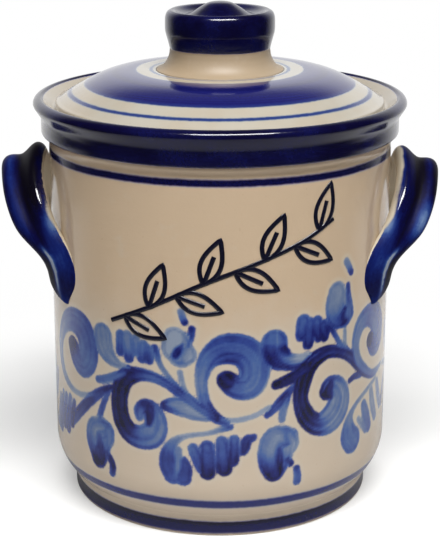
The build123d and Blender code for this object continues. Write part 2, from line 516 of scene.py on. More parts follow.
@dataclass(frozen=True)
class BodyGlaze(BrushedGlaze):
    """The crock's glaze: brushed vine, turned lines, blue collar and foot band."""

    name: str = "salt_glaze_with_vine"
    clay: Colour = linear(188, 172, 153)
    clay_warm: Colour = linear(187, 165, 139)
    clay_grey: Colour = linear(184, 174, 158)
    inside_clay: Colour = linear(180, 171, 156)
    # Painted shade: the colour of the dark band under the collar's overhang.
    collar_shade_colour: Colour = linear(100, 82, 66)
    fire: Drift = Drift(0.018, 3, 0.8)
    least_warmth: float = 0.08
    upper_warm_veil: Veil = Veil(85.0, 150.0, 0.9)
    upper_line: LoadedRing = LoadedRing(187.2, 191.2, 0.9, 0.3, 0.4, 0.66)
    lower_line: LoadedRing = LoadedRing(18.3, 23.7, 1.1, 0.2, 0.5, 0.58)
    fringe: Ring = Ring(18.3, 23.7, 2.6, 0.35)
    collar_line: float = 197.4
    collar_tone: float = 0.98
    collar_drift: Drift = Drift(0.05, 3, 0.25)
    rim_line: float = 92.4
    rim_waver: float = 0.3
    foot_line: float = 8.4
    foot_soft: float = 0.8
    foot_tone: float = 0.81
    foot_low_veil: Veil = Veil(0.8, 3.4, 0.12)
    foot_top_veil: Veil = Veil(5.0, 8.0, 0.1)
    bare_veil: Veil = Veil(0.2, 2.4)
    bare_drift: Drift = Drift(0.3, 3, 0.5)
    inside_radius: float = 88.5
    inside_foot_radius: float = 79.0
    foot_inside_veil: Veil = Veil(70.0, 71.0)
    turn_veil: Veil = Veil(26.0, 34.0)
    lip_veil: Veil = Veil(203.4, 205.4)
    # Painted shade: the band just under the collar, where its overhang shades the wall.
    collar_shade: Ring = Ring(195.6, 197.4, 0.9, 0.7)

    def paint(self, tree: ShaderTree, place: Place) -> tuple[Value, Value, Value]:
        """Lay the turned lines by height over the brushed vine.

        Args:
            tree: The material's nodes.
            place: Where the surface is.

        Returns:
            Cover, tone and how near the cobalt's edge is, as for any glaze.
        """
        vine, wash, near = super().paint(tree, place)
        waver = self.waver(tree, place)
        height = place.height + waver
        outside = place.radius.past(self.inside_radius - self.crisp, self.crisp)
        low_outside = place.radius.through(self.foot_inside_veil)
        upper, upper_tone = self.upper_line.lay(height, outside)
        lower, lower_tone = self.lower_line.lay(height, low_outside)
        lip = (place.radius + waver * self.rim_waver).past(self.rim_line, self.crisp)
        collar = height.past(self.collar_line, self.crisp) * lip
        foot = (1 - height.past(self.foot_line, self.foot_soft)) * low_outside
        lines = upper.larger(lower).larger(foot).larger(collar)
        foot_tone = height.through(self.foot_low_veil) + height.through(self.foot_top_veil) + self.foot_tone
        collar_tone = tree.noise(place.vector, self.collar_drift) + self.collar_tone
        turned_tone = upper_tone + lower_tone + foot * foot_tone + collar * collar_tone
        _, fringe = self.fringe.lay(height, low_outside)
        return vine.larger(lines), wash * (1 - lines) + turned_tone, near.larger(fringe)

    def warmth(self, tree: ShaderTree, place: Place) -> Value:
        """Warm the clay towards the top."""
        return super().warmth(tree, place) + place.height.through(self.upper_warm_veil)

    def clay_colour(self, tree: ShaderTree, place: Place) -> bpy.types.NodeSocket:
        """Cool the clay inside the pot and on its rim, and paint shade under the collar.

        Args:
            tree: The material's nodes.
            place: Where the surface is.

        Returns:
            The clay's colour.
        """
        widening = place.height.through(self.turn_veil) * (self.inside_radius - self.inside_foot_radius)
        wall = (place.radius - widening).past(self.inside_foot_radius - self.crisp, self.crisp)
        inside = (1 - wall).larger(place.height.through(self.lip_veil))
        # Paint shade under the collar by darkening the clay there.
        _, collar_shade = self.collar_shade.lay(place.height)
        darkened = tree.mix(collar_shade, super().clay_colour(tree, place), opaque(self.collar_shade_colour))
        return tree.mix(inside, darkened, opaque(self.inside_clay))

    def unglazed(self, tree: ShaderTree, place: Place) -> Value:
        """Leave the foot's standing edge bare."""
        edge = place.height + tree.noise(place.vector, self.bare_drift)
        return 1 - edge.through(self.bare_veil)


@dataclass(frozen=True)
class LidGlaze(Glaze):
    """The lid's glaze: a thin ring near the edge, a wide band and a ring at the neck.

    The wide band's tone is that of its rims, and rim_veil deepens it away from them.
    """

    name: str = "salt_glaze_with_bands"
    clay: Colour = linear(179, 174, 162)
    clay_warm: Colour = linear(174, 162, 143)
    washes: Stops = (
        (0.0, linear(142, 158, 166)),
        (0.2, linear(112, 134, 156)),
        (0.4, linear(78, 102, 138)),
        (0.6, linear(42, 62, 116)),
        (0.8, linear(25, 27, 96)),
        (1.0, linear(6, 4, 40)),
    )
    gloss: float = 0.11
    coat: float = 0.3
    hand: Drift = Drift(0.025, 2, 0.9)
    edge_ring: Ring = Ring(77.4, 79.7, 0.7, 0.64)
    wide_band: Ring = Ring(43.5, 70.9, 0.7, 0.58)
    neck_ring: Ring = Ring(34.9, 36.9, 0.6, 0.5)
    rim_veil: Veil = Veil(0.4, 3.0, 0.12)
    turned: Drift = Drift(1.2, 3, 0.3)
    top_veil: Veil = Veil(211.0, 212.0)

    def paint(self, tree: ShaderTree, place: Place) -> tuple[Value, Value, Value]:
        """Lay the rings by their distance from the axis.

        Args:
            tree: The material's nodes.
            place: Where the surface is.

        Returns:
            Cover, tone and how near the cobalt's edge is, as for any glaze.
        """
        radius = place.radius + self.waver(tree, place)
        edge_ring, edge_tone = self.edge_ring.lay(radius)
        band, band_tone = self.wide_band.lay(radius)
        neck_ring, neck_tone = self.neck_ring.lay(radius)
        inwards = (radius - self.wide_band.low).through(self.rim_veil)
        outwards = (self.wide_band.high - radius).through(self.rim_veil)
        turned = tree.noise(tree.scaled(place.vector, (0, 0, 1)), self.turned)
        tone = band_tone + band * (turned + inwards + outwards) + edge_tone + neck_tone
        cover = edge_ring.larger(band).larger(neck_ring) * place.height.through(self.top_veil)
        return cover, tone, place.nowhere()


@dataclass(frozen=True)
class KnobGlaze(Glaze):
    """The knob's glaze: pale neck and deep blue button."""

    name: str = "cobalt_over_neck"
    clay: Colour = linear(166, 148, 124)
    clay_warm: Colour = linear(165, 143, 115)
    hand: Drift = Drift(0.05, 2, 0.8)
    button_start: float = 240.6
    button_tone: float = 0.98
    button_drift: Drift = Drift(0.08, 3, 0.2)
    satin_soft: float = 0.25

    def paint(self, tree: ShaderTree, place: Place) -> tuple[Value, Value, Value]:
        """Cover the button from its lower edge up.

        Args:
            tree: The material's nodes.
            place: Where the surface is.

        Returns:
            Cover, tone and how near the cobalt's edge is, as for any glaze.
        """
        height = place.height + tree.noise(place.vector, self.hand)
        cover = height.past(self.button_start, self.crisp)
        tone = cover * (tree.noise(place.vector, self.button_drift) + self.button_tone)
        return cover, tone, place.nowhere()

    def dulled(self, tree: ShaderTree, place: Place) -> Value:
        """Leave the neck satin."""
        return 1 - place.height.past(self.button_start - self.satin_soft, self.satin_soft)


@dataclass(frozen=True)
class HandleGlaze(BrushedGlaze):
    """The handles' glaze: cobalt brushed over the outside, pale clay on the inner edge."""

    name: str = "cobalt_over_handles"
    clay: Colour = linear(194, 184, 165)
    clay_warm: Colour = linear(190, 175, 150)
    shine: float = 0.05
    coat: float = 1.0
    washes: Stops = (
        (0.0, linear(138, 146, 164)),
        (0.2, linear(84, 106, 146)),
        (0.4, linear(38, 60, 118)),
        (0.6, linear(15, 29, 90)),
        (0.8, linear(8, 8, 55)),
        (1.0, linear(11, 8, 20)),
    )
    edge_drift: Drift = Drift(0.12, 2, 0.8)
    wash_drift: Drift = Drift(0.5, 3, 0.12)
    paint_veil: Veil = Veil(-0.5, 0.6)
    thin_veil: Veil = Veil(0.2, 2.2, 0.22)
    halo_veil: Veil = Veil(-2.2, -0.3, 0.6)
    lanes_across: float = 16.0
    lanes_along: float = 1.3
    streaks: Drift = Drift(1.0, 3, 0.22)

    def paint(self, tree: ShaderTree, place: Place) -> tuple[Value, Value, Value]:
        """Draw the brush's streaks along the strap.

        Args:
            tree: The material's nodes.
            place: Where the surface is.

        Returns:
            Cover, tone and how near the cobalt's edge is, as for any glaze.
        """
        cover, tone, near = super().paint(tree, place)
        lanes = tree.node("ShaderNodeCombineXYZ", None, {
            0: tree.mark(Mark.ACROSS) * self.lanes_across, 1: tree.mark(Mark.ALONG) * self.lanes_along,
        })
        return cover, tone + tree.noise(lanes.outputs[0], self.streaks), near

    def dulled(self, tree: ShaderTree, place: Place) -> Value:
        """Dull the ribs, where the glaze is thick and stony."""
        return tree.mark(Mark.DULL)


def spans(points: np.ndarray) -> list[np.ndarray]:
    """Give each span of a curve its four points: the two that it joins and one past either end."""
    padded = np.vstack([2 * points[0] - points[1], points, 2 * points[-1] - points[-2]])
    return [padded[index:index + 4] for index in range(len(points) - 1)]


def between(span: np.ndarray, shares: np.ndarray) -> np.ndarray:
    """Follow a smooth curve over a span.

    Args:
        span: The span's four points.
        shares: Shares of the way from its second point to its third.

    Returns:
        One row for each share.
    """
    before, start, end, after = span
    t = shares[:, None]
    return 0.5 * (2 * start + (end - before) * t
                  + (2 * before - 5 * start + 4 * end - after) * t ** 2
                  + (3 * start - before - 3 * end + after) * t ** 3)


def places_of(mesh: bpy.types.Mesh) -> np.ndarray:
    """Read where a mesh's vertices are, in millimetres.

    Args:
        mesh: A mesh in metres.

    Returns:
        One row for each vertex.
    """
    places = np.zeros(len(mesh.vertices) * 3, np.float32)
    mesh.vertices.foreach_get("co", places)
    return places.reshape(-1, 3) / MM


def write_marks(mesh: bpy.types.Mesh, marks: dict[Mark, np.ndarray]) -> None:
    """Write numbers on a mesh's vertices for its glaze to read.

    Args:
        mesh: The mesh.
        marks: One number for each vertex, by mark.
    """
    for mark, numbers in marks.items():
        written = mesh.attributes.new(mark.value, "FLOAT", "POINT")
        written.data.foreach_set("value", numbers.astype(np.float32))


@dataclass(frozen=True)
class Even:
    """Strength that is 1 throughout."""

    def at(self, values: np.ndarray) -> np.ndarray:
        """Give the strength at each value."""
        return np.ones_like(values)


@dataclass(frozen=True)
class Hump:
    """Strength that is 1 at a middle value and falls off to both sides."""

    middle: float
    spread: float

    def at(self, values: np.ndarray) -> np.ndarray:
        """Give the strength at each value."""
        return np.exp(-((values - self.middle) / self.spread) ** 2)


@dataclass(frozen=True)
class Rise:
    """Strength that steps smoothly from 0 to 1 about a middle value."""

    middle: float
    spread: float

    def at(self, values: np.ndarray) -> np.ndarray:
        """Give the strength at each value."""
        return 0.5 + 0.5 * np.tanh((values - self.middle) / self.spread)


@dataclass(frozen=True)
class Fall(Rise):
    """Strength that steps smoothly from 1 to 0 about a middle value."""

    def at(self, values: np.ndarray) -> np.ndarray:
        """Give the strength at each value."""
        return 1 - super().at(values)


@dataclass(frozen=True)
class Stroke:
    """One stroke of a loaded brush on the unrolled wall.

    Each point has its place round the wall from the front, its height, the brush's half width, all in
    millimetres, and its tone from 0, a pale wash, to 1, night blue.
    """

    points: tuple[tuple[float, float, float, float], ...]
    pooling: float = 0.2
    streak: float = 0.12
    least_width: float = 0.3

    def path(self, step: float = 0.5) -> np.ndarray:
        """Follow a smooth curve through the points.

        Args:
            step: Distance between samples, in millimetres.

        Returns:
            Rows of place, height, half width and tone.
        """
        points = np.array(self.points, float)
        rows = []
        for span in spans(points):
            length = np.hypot(*(span[2] - span[1])[:2])
            count = max(2, int(length / step))
            rows.append(between(span, np.linspace(0, 1, count, endpoint=False)))
        path = np.vstack([*rows, points[-1:]])
        path[:, 2] = np.maximum(path[:, 2], self.least_width)
        path[:, 3] = np.clip(path[:, 3], 0, 1)
        return path


VINE = {
    "centre scroll": (
        Stroke((
            (4.5, 64.8, 1.0, 0.6), (2.0, 67.2, 1.8, 0.7), (-2.5, 70, 2.6, 0.8), (-6.2, 74.5, 2.8, 0.8),
            (-8.2, 80, 2.5, 0.5), (-9.3, 88, 2.8, 0.4), (-7.9, 96, 3.8, 0.5), (-4.2, 102, 5.3, 0.62),
            (3, 105.8, 7.5, 0.74), (11.5, 104.4, 7.9, 0.72), (16.5, 98.8, 8.1, 0.6), (17.3, 92, 7.4, 0.52),
            (15, 86.8, 7.1, 0.52), (10.2, 85.4, 6.2, 0.66), (6, 87, 5.4, 0.85), (3.4, 89.4, 4.8, 1),
        ), streak=0.26),
        Stroke(((1.2, 90.4, 2.6, 1), (3.8, 87.8, 3.4, 1))),
        Stroke((
            (-2, 70, 1, 0.2), (4, 68.2, 1, 0.15), (11, 68.4, 1, 0.1), (18, 70.3, 0.9, 0.1),
            (25, 74, 0.8, 0.2),
        )),
    ),
    "round leaf": (
        Stroke((
            (27.3, 107.6, 6.6, 0.5), (27.4, 103.5, 6.8, 0.85), (30, 99.5, 6.2, 0.75), (34, 97.4, 4.2, 0.5),
            (40, 96.8, 3, 0.12), (46, 97.5, 2.2, 0.15),
        ), streak=0.25),
        Stroke(((27, 99, 2, 0.8), (31.5, 95.2, 1.9, 0.85), (37, 93.7, 1.6, 0.85), (43, 94, 2, 0.9))),
    ),
    "upper feather": (
        Stroke(((43, 116.6, 3.6, 0.55), (42.6, 112, 3.7, 0.65), (41.6, 109.5, 2.7, 0.75))),
        Stroke(((47, 115, 3, 0.6), (46.3, 108, 3.2, 0.75), (45.8, 104.6, 2.8, 0.85))),
        Stroke(((51, 115.2, 3, 0.6), (51.6, 110, 3.3, 0.8), (52.2, 107, 2.6, 0.9))),
        Stroke(((55, 112.8, 2.7, 0.65), (55.8, 108.5, 3, 0.8), (56, 106.4, 2.4, 0.85))),
        Stroke((
            (57.5, 111.6, 1.7, 0.7), (61, 108.8, 1.2, 0.75), (64.5, 103.5, 1.1, 0.6), (68, 99, 1.2, 0.5),
            (73, 95, 1.4, 0.6),
        )),
    ),
    "upper bud": (
        Stroke(((64.8, 126, 5.6, 0.16), (67, 119, 7.6, 0.35), (68.6, 115.6, 7, 0.6)), 0.2),
        Stroke((
            (63.8, 128, 5.6, 0.15), (62.8, 121.5, 6.2, 0.25), (64.5, 116, 6.6, 0.55), (67.5, 115, 5.8, 0.9),
        ), 0.3),
        Stroke(((71.6, 130.4, 1.3, 0.8), (72, 125, 1.8, 0.65), (73, 119, 2.6, 0.55), (72.8, 115, 3.6, 0.55))),
        Stroke(((70, 106.8, 0.9, 0.2), (70.2, 100, 1, 0.15), (71.5, 96.5, 1, 0.3))),
        Stroke(((70, 143.2, 1.6, 0.25), (72, 140.2, 1.6, 0.4), (74, 136.8, 1.5, 0.85))),
    ),
    "right ring": (
        Stroke((
            (107, 75.3, 1.3, 0.3), (100, 74.6, 1.6, 0.5), (93.5, 76.5, 2.1, 0.75), (87, 80.5, 2.6, 0.8),
            (80.5, 86.3, 2.8, 0.8), (74.5, 91.8, 2.9, 0.8), (67, 95.8, 2.8, 0.8), (59, 97.8, 3.3, 0.85),
            (51.5, 96, 4.2, 0.92), (46, 91.8, 5, 1), (43, 84, 4.6, 1), (42, 76, 4, 1), (44, 68.5, 4.6, 1),
            (48.5, 62.5, 5.2, 0.95), (54, 59.6, 5.7, 0.72), (60.5, 61, 7.6, 0.35), (65.5, 65.5, 8.2, 0.3),
            (67.2, 71.5, 6.9, 0.32), (64.5, 76.8, 6.3, 0.42), (60.5, 78.4, 5.8, 0.6), (58.4, 77, 4.8, 0.9),
        ), pooling=0.42, streak=0.2),
        Stroke(((60.6, 80, 2.6, 0.95), (59, 76.5, 3.4, 1), (60.8, 73.2, 2.2, 0.95))),
        Stroke(((28.4, 85.5, 2.3, 1), (33.5, 86.8, 2.7, 0.98), (39, 89, 3, 0.95), (45, 92, 3.6, 1))),
        Stroke((
            (23.8, 69.6, 1.3, 0.75), (27.6, 73, 1.9, 0.65), (32.5, 77.6, 2.4, 0.8), (37.2, 82.6, 1.3, 0.6),
        )),
        Stroke(((31.7, 66.6, 1.6, 0.35), (32.4, 71.5, 1.8, 0.35), (34.4, 77, 1.5, 0.5))),
    ),
    "right bud": (
        Stroke(((32.2, 55.6, 7.2, 0.2), (30, 49, 8, 0.35), (28, 42, 6.8, 0.75)), 0.2),
        Stroke((
            (33.5, 56.6, 5.6, 0.45), (28, 56, 6.6, 0.28), (25.8, 49.5, 6.4, 0.4), (26.4, 43.5, 6.4, 0.75),
            (27.6, 39, 5.4, 0.98),
        ), pooling=0.3, streak=0.35),
        Stroke(((36.6, 57, 3.8, 0.45), (38.6, 52.5, 2.4, 0.25), (37.5, 49, 1.6, 0.2))),
        Stroke(((30.5, 50, 1.8, 0.75), (31.2, 44, 2.2, 0.9))),
        Stroke(((35.3, 44, 1.9, 0.8), (36.8, 41.8, 1.6, 0.85))),
        Stroke(((40.2, 38.6, 1.5, 0.75), (40.7, 35, 1.8, 0.5), (40.6, 31, 1.8, 0.62))),
    ),
    "right branch": (
        Stroke(((75, 78.4, 1.3, 0.8), (79, 79.4, 1.5, 0.75), (84.5, 79, 1.6, 0.7))),
        Stroke((
            (112, 76, 1, 0.3), (104, 75.4, 1.4, 0.3), (96.5, 75.8, 1.8, 0.4), (88.5, 80.5, 2.4, 0.45),
            (82.3, 86.5, 2.8, 0.4), (79.6, 93.5, 2.8, 0.3), (80, 100.5, 3.4, 0.3), (84, 107, 4.6, 0.4),
            (91.5, 109.3, 5.7, 0.62), (99.5, 106.6, 7.4, 0.64), (104.5, 100, 8, 0.58),
            (104, 93.5, 7.6, 0.55), (99.5, 91.6, 6.4, 0.65), (95.2, 94.8, 4.6, 1),
        ), streak=0.2),
        Stroke((
            (103, 71, 0.9, 0.1), (95, 69.2, 1, 0.12), (87.5, 66.6, 1.1, 0.12), (80.5, 63.2, 1.2, 0.15),
            (76, 58.5, 2.2, 0.2), (74.6, 53, 4.2, 0.35), (75.6, 47.5, 6.4, 0.45), (78, 44.4, 7, 0.45),
        ), pooling=0.25),
        Stroke(((88.6, 61, 2.4, 0.35), (91.5, 54, 3.6, 0.45), (94.5, 46.8, 3.2, 0.5))),
        Stroke(((83.5, 54.5, 1.2, 0.15), (87.5, 50.5, 1.8, 0.2), (92, 46.5, 2.4, 0.45))),
        Stroke(((97, 66.5, 1.9, 0.2), (99.5, 58, 2.7, 0.3), (103.5, 49.5, 2.4, 0.3))),
        Stroke(((105.5, 68.5, 1.8, 0.2), (108.5, 60.5, 2.6, 0.28), (112.5, 53, 2.2, 0.3))),
    ),
    "low feather": (
        Stroke(((-13.6, 52.8, 2.4, 0.5), (-11.2, 47.5, 3, 0.7), (-9.2, 42, 2.6, 0.75))),
        Stroke(((-6.4, 53.6, 3.4, 0.6), (-6.2, 46, 4, 0.78), (-6.2, 40, 3.8, 0.95))),
        Stroke(((0.8, 57, 2.5, 0.5), (1.6, 49, 3.5, 0.7), (2.2, 42, 3.7, 0.95))),
        Stroke(((7, 57.4, 2.6, 0.5), (6.9, 51.5, 3.1, 0.75), (6.3, 46.4, 3, 0.9))),
        Stroke((
            (16.8, 58.4, 1.6, 0.7), (13.6, 57.2, 2.3, 0.8), (12.6, 53.5, 2.5, 0.85), (11.8, 51, 1.8, 0.85),
        )),
        Stroke((
            (5, 64.6, 1.4, 0.7), (0, 63, 1.1, 0.4), (-6, 61.2, 0.9, 0.2), (-13, 60, 0.9, 0.18),
            (-19, 58.4, 1.2, 0.2), (-23.5, 55, 2.2, 0.35), (-26.3, 49.5, 3.6, 0.65), (-26.4, 43, 4.6, 0.8),
            (-24, 37.5, 4.8, 0.7),
        ), pooling=0.15),
        Stroke(((-21.5, 51, 2, 0.25), (-21.3, 44, 2.2, 0.3), (-21, 37, 3, 0.4))),
        Stroke(((-18.6, 46, 1.8, 0.75), (-17.4, 41, 3, 0.8), (-18.6, 36, 3.8, 0.75))),
    ),
    "almond leaf": (
        Stroke((
            (-28.6, 74.8, 1.6, 0.75), (-24.5, 75.4, 3.2, 0.4), (-18.5, 74.6, 4.7, 0.22),
            (-12.5, 72.4, 4.1, 0.15), (-7.5, 70.4, 2.5, 0.2), (-3, 69.4, 1.1, 0.3),
        ), pooling=0.42),
        Stroke(((-28.8, 73.4, 1, 0.8), (-24, 71.9, 1, 0.7), (-18, 70.3, 0.9, 0.35))),
    ),
    "left ring": (
        Stroke((
            (-2, 69.5, 2.4, 0.75), (-7.6, 73, 2.5, 0.5), (-12.5, 76.4, 2.5, 0.42), (-17.3, 80, 2.6, 0.5),
            (-23, 84, 2.3, 0.55), (-29, 87.2, 2.3, 0.45), (-35.5, 89, 2.7, 0.5), (-42, 89, 3.4, 0.72),
            (-48.6, 86.8, 4.6, 0.95), (-52.8, 80.5, 4.9, 1), (-54.2, 71.5, 4.9, 1), (-52.6, 62.5, 5.2, 1),
            (-48, 56.8, 5.6, 0.85), (-41.5, 55.4, 6.1, 0.48), (-35.5, 57.6, 6.7, 0.4),
            (-32.8, 63, 5.8, 0.35), (-33.6, 68.5, 5, 0.42), (-36, 71.6, 4.4, 0.7), (-39.2, 72.3, 3.7, 0.8),
            (-41.9, 69.6, 3.1, 0.5), (-42, 66.4, 2.2, 0.3),
        ), pooling=0.35, streak=0.22),
        Stroke(((-36, 72, 2.6, 0.9), (-36.2, 67.5, 2.9, 1), (-36.8, 63.6, 2.1, 0.95))),
        Stroke((
            (-68.6, 80.7, 1.6, 0.5), (-62.5, 82.3, 2.1, 0.42), (-56.5, 85.2, 2.1, 0.42), (-51, 88, 2, 0.6),
        )),
    ),
    "round bud": (
        Stroke(((-21.4, 108.6, 6.6, 0.08), (-19.6, 102.6, 6.8, 0.16)), 0.3),
        Stroke(((-22.5, 110.6, 5.4, 0.06), (-23.2, 105, 5.8, 0.12), (-20, 101.8, 5, 0.28)), pooling=0.42),
        Stroke(((-15.6, 106.5, 1.8, 0.2), (-15, 102.5, 3.3, 0.1), (-16.5, 100.4, 3.3, 0.15)), pooling=0.3),
        Stroke(((-22.4, 101.6, 2.4, 0.85), (-20.8, 104.2, 2.4, 0.85), (-18.4, 107.8, 0.9, 0.55))),
        Stroke(((-13.8, 115.8, 1.5, 0.8), (-14.3, 111.6, 1.3, 0.65), (-15.6, 106.8, 0.9, 0.4))),
        Stroke(((-19.4, 124.5, 1.3, 0.25), (-18.4, 121.5, 1.5, 0.4), (-17.4, 119, 1.4, 0.85))),
        Stroke((
            (-19.9, 92.6, 1.2, 0.12), (-18.8, 87, 1, 0.1), (-16.6, 81.5, 1, 0.25), (-13, 77.4, 0.9, 0.4),
        )),
    ),
    "left feather": (
        Stroke(((-52.8, 108, 2.5, 0.45), (-53, 99.6, 2.5, 0.65))),
        Stroke(((-48.6, 108.2, 2.8, 0.3), (-48, 102, 3.2, 0.45), (-47.8, 97, 2.6, 0.7))),
        Stroke(((-43.8, 107, 2.6, 0.3), (-43.5, 101, 2.5, 0.5))),
        Stroke(((-39.6, 104.6, 2.9, 0.45), (-40, 98.4, 2.9, 0.7))),
        Stroke(((-36.6, 103, 2.4, 0.5), (-36.2, 97.6, 2.2, 0.7))),
        Stroke((
            (-33.2, 104.4, 1.6, 0.65), (-32.2, 101.4, 1.6, 0.5), (-30.2, 95.8, 1.1, 0.25),
            (-26, 90, 1.1, 0.25), (-21.5, 84.8, 1.2, 0.5),
        )),
        Stroke((
            (-64.6, 105.6, 6, 0.3), (-63.6, 100, 5.6, 0.25), (-60.4, 95.4, 4.2, 0.25),
            (-54.5, 92.2, 2, 0.12), (-48, 91.6, 1, 0.15),
        ), pooling=0.3),
    ),
    "left bud": (
        Stroke(((-67, 53, 7.6, 0.3), (-68.4, 47, 8, 0.45), (-69, 40, 6.2, 0.85)), 0.2),
        Stroke((
            (-62.5, 55.2, 3.6, 0.5), (-66.5, 54, 5.4, 0.42), (-71.2, 52, 6.8, 0.35),
            (-72.2, 46.5, 6.6, 0.5), (-70.4, 41, 5.9, 0.8), (-69.4, 37, 5.2, 1),
        ), pooling=0.3, streak=0.3),
        Stroke(((-61.6, 54, 3.4, 0.35), (-61, 49.6, 2.6, 0.3), (-62.2, 46, 1.6, 0.3)), pooling=0.3),
        Stroke(((-68.4, 50, 1.6, 0.6), (-67.8, 43.5, 2.4, 0.85))),
        Stroke(((-70.2, 41.5, 2.4, 0.7), (-69.8, 38.8, 3.4, 0.85), (-69.4, 36.6, 3.4, 0.97))),
        Stroke((
            (-63.4, 42, 1.3, 0.75), (-60.8, 38.8, 1.8, 0.9), (-59.3, 35, 1.8, 0.85), (-59.8, 31, 1.7, 0.7),
        )),
        Stroke((
            (-60.8, 76.6, 1.2, 0.6), (-63.8, 71, 1.4, 0.6), (-66.4, 65, 1.6, 0.65), (-68, 60.6, 1.7, 0.6),
        )),
    ),
    "left branch": (
        Stroke((
            (-58, 79, 1.2, 0.85), (-62, 77, 1.8, 0.85), (-69, 72.6, 2.5, 0.7), (-76.5, 66.4, 2.8, 0.8),
            (-83.5, 60, 2.9, 0.8), (-89, 54.6, 2.8, 0.75), (-92.6, 50.6, 2.2, 0.7),
        )),
        Stroke((
            (-72, 71.6, 1.2, 0.5), (-79, 69, 1.2, 0.2), (-87, 68, 1.2, 0.15), (-95, 69.3, 1.6, 0.25),
            (-102, 73.3, 2.2, 0.3), (-106.6, 80, 2.6, 0.3), (-107.6, 88.5, 3, 0.3), (-104.6, 97, 3.8, 0.35),
            (-98, 104, 5, 0.5), (-89.5, 107.2, 6.4, 0.62), (-81, 105.2, 7.8, 0.66),
            (-76.8, 98.5, 7.7, 0.58), (-76.8, 91, 7.7, 0.55), (-80.6, 86.2, 7.4, 0.55),
            (-86, 87.5, 6.4, 0.65), (-90.6, 93, 4.9, 0.98),
        ), streak=0.2),
        Stroke(((-91, 61.6, 1.5, 0.6), (-93.2, 54, 2.5, 0.8), (-94.2, 48.5, 2.3, 0.85))),
        Stroke(((-95.8, 63, 1.6, 0.5), (-98.2, 53, 2.2, 0.7), (-99.6, 44.2, 2.9, 0.8))),
        Stroke(((-101.2, 61.8, 1.9, 0.5), (-103.6, 52, 2.6, 0.65), (-104.8, 44.6, 2.3, 0.75))),
        Stroke(((-105.8, 62.2, 1.4, 0.45), (-108.8, 50.6, 2.1, 0.6), (-111, 41, 2.8, 0.7))),
        Stroke(((-110.9, 58.6, 1.7, 0.45), (-113.8, 49.5, 2.4, 0.6), (-116, 43, 2.1, 0.65))),
    ),
}

UNDER_HANDLE = (
    Stroke((
        (-113, 40, 1.6, 0.5), (-120, 41.5, 1.3, 0.4), (-128, 46.5, 1.2, 0.3), (-135, 54, 1.4, 0.4),
        (-141, 62, 1.7, 0.6), (-149, 69, 1.9, 0.6), (-157, 73, 1.6, 0.5), (-166, 75.4, 1.3, 0.35),
    )),
    Stroke((
        (-141, 62, 1.4, 0.6), (-147, 56, 2.6, 0.45), (-152, 49, 4.8, 0.4), (-153.5, 43.5, 5.2, 0.85),
    ), 0.3),
    Stroke(((-135, 54, 1.3, 0.5), (-136, 62, 2.4, 0.4), (-139, 72, 4.4, 0.25), (-140.5, 80, 5.2, 0.3)), 0.35),
    Stroke(((-141.5, 79, 2.4, 0.85), (-139.5, 84, 1.2, 0.6))),
    Stroke(((-128, 60, 2.4, 0.5), (-126, 68.5, 2.8, 0.65), (-124.5, 76, 2, 0.8))),
    Stroke(((-122.5, 56, 2.2, 0.4), (-119.6, 64, 2.6, 0.6), (-117.6, 70.5, 1.9, 0.75))),
    Stroke(((-131, 37, 2.2, 0.6), (-133.5, 43, 2.6, 0.75), (-135.5, 48, 1.8, 0.7))),
    Stroke(((-139, 36.5, 2.3, 0.5), (-141, 43.5, 2.7, 0.7), (-142, 50, 1.8, 0.8))),
    Stroke(((-150, 79, 2.2, 0.4), (-151.5, 86, 2.7, 0.6), (-152.5, 93, 2, 0.8))),
    Stroke(((-157.5, 82, 2.2, 0.4), (-159.6, 89.5, 2.7, 0.6), (-161, 97, 2, 0.8))),
    Stroke(((-160, 66, 2.2, 0.5), (-163.5, 59.5, 2.6, 0.65), (-166.5, 53, 1.9, 0.75))),
)


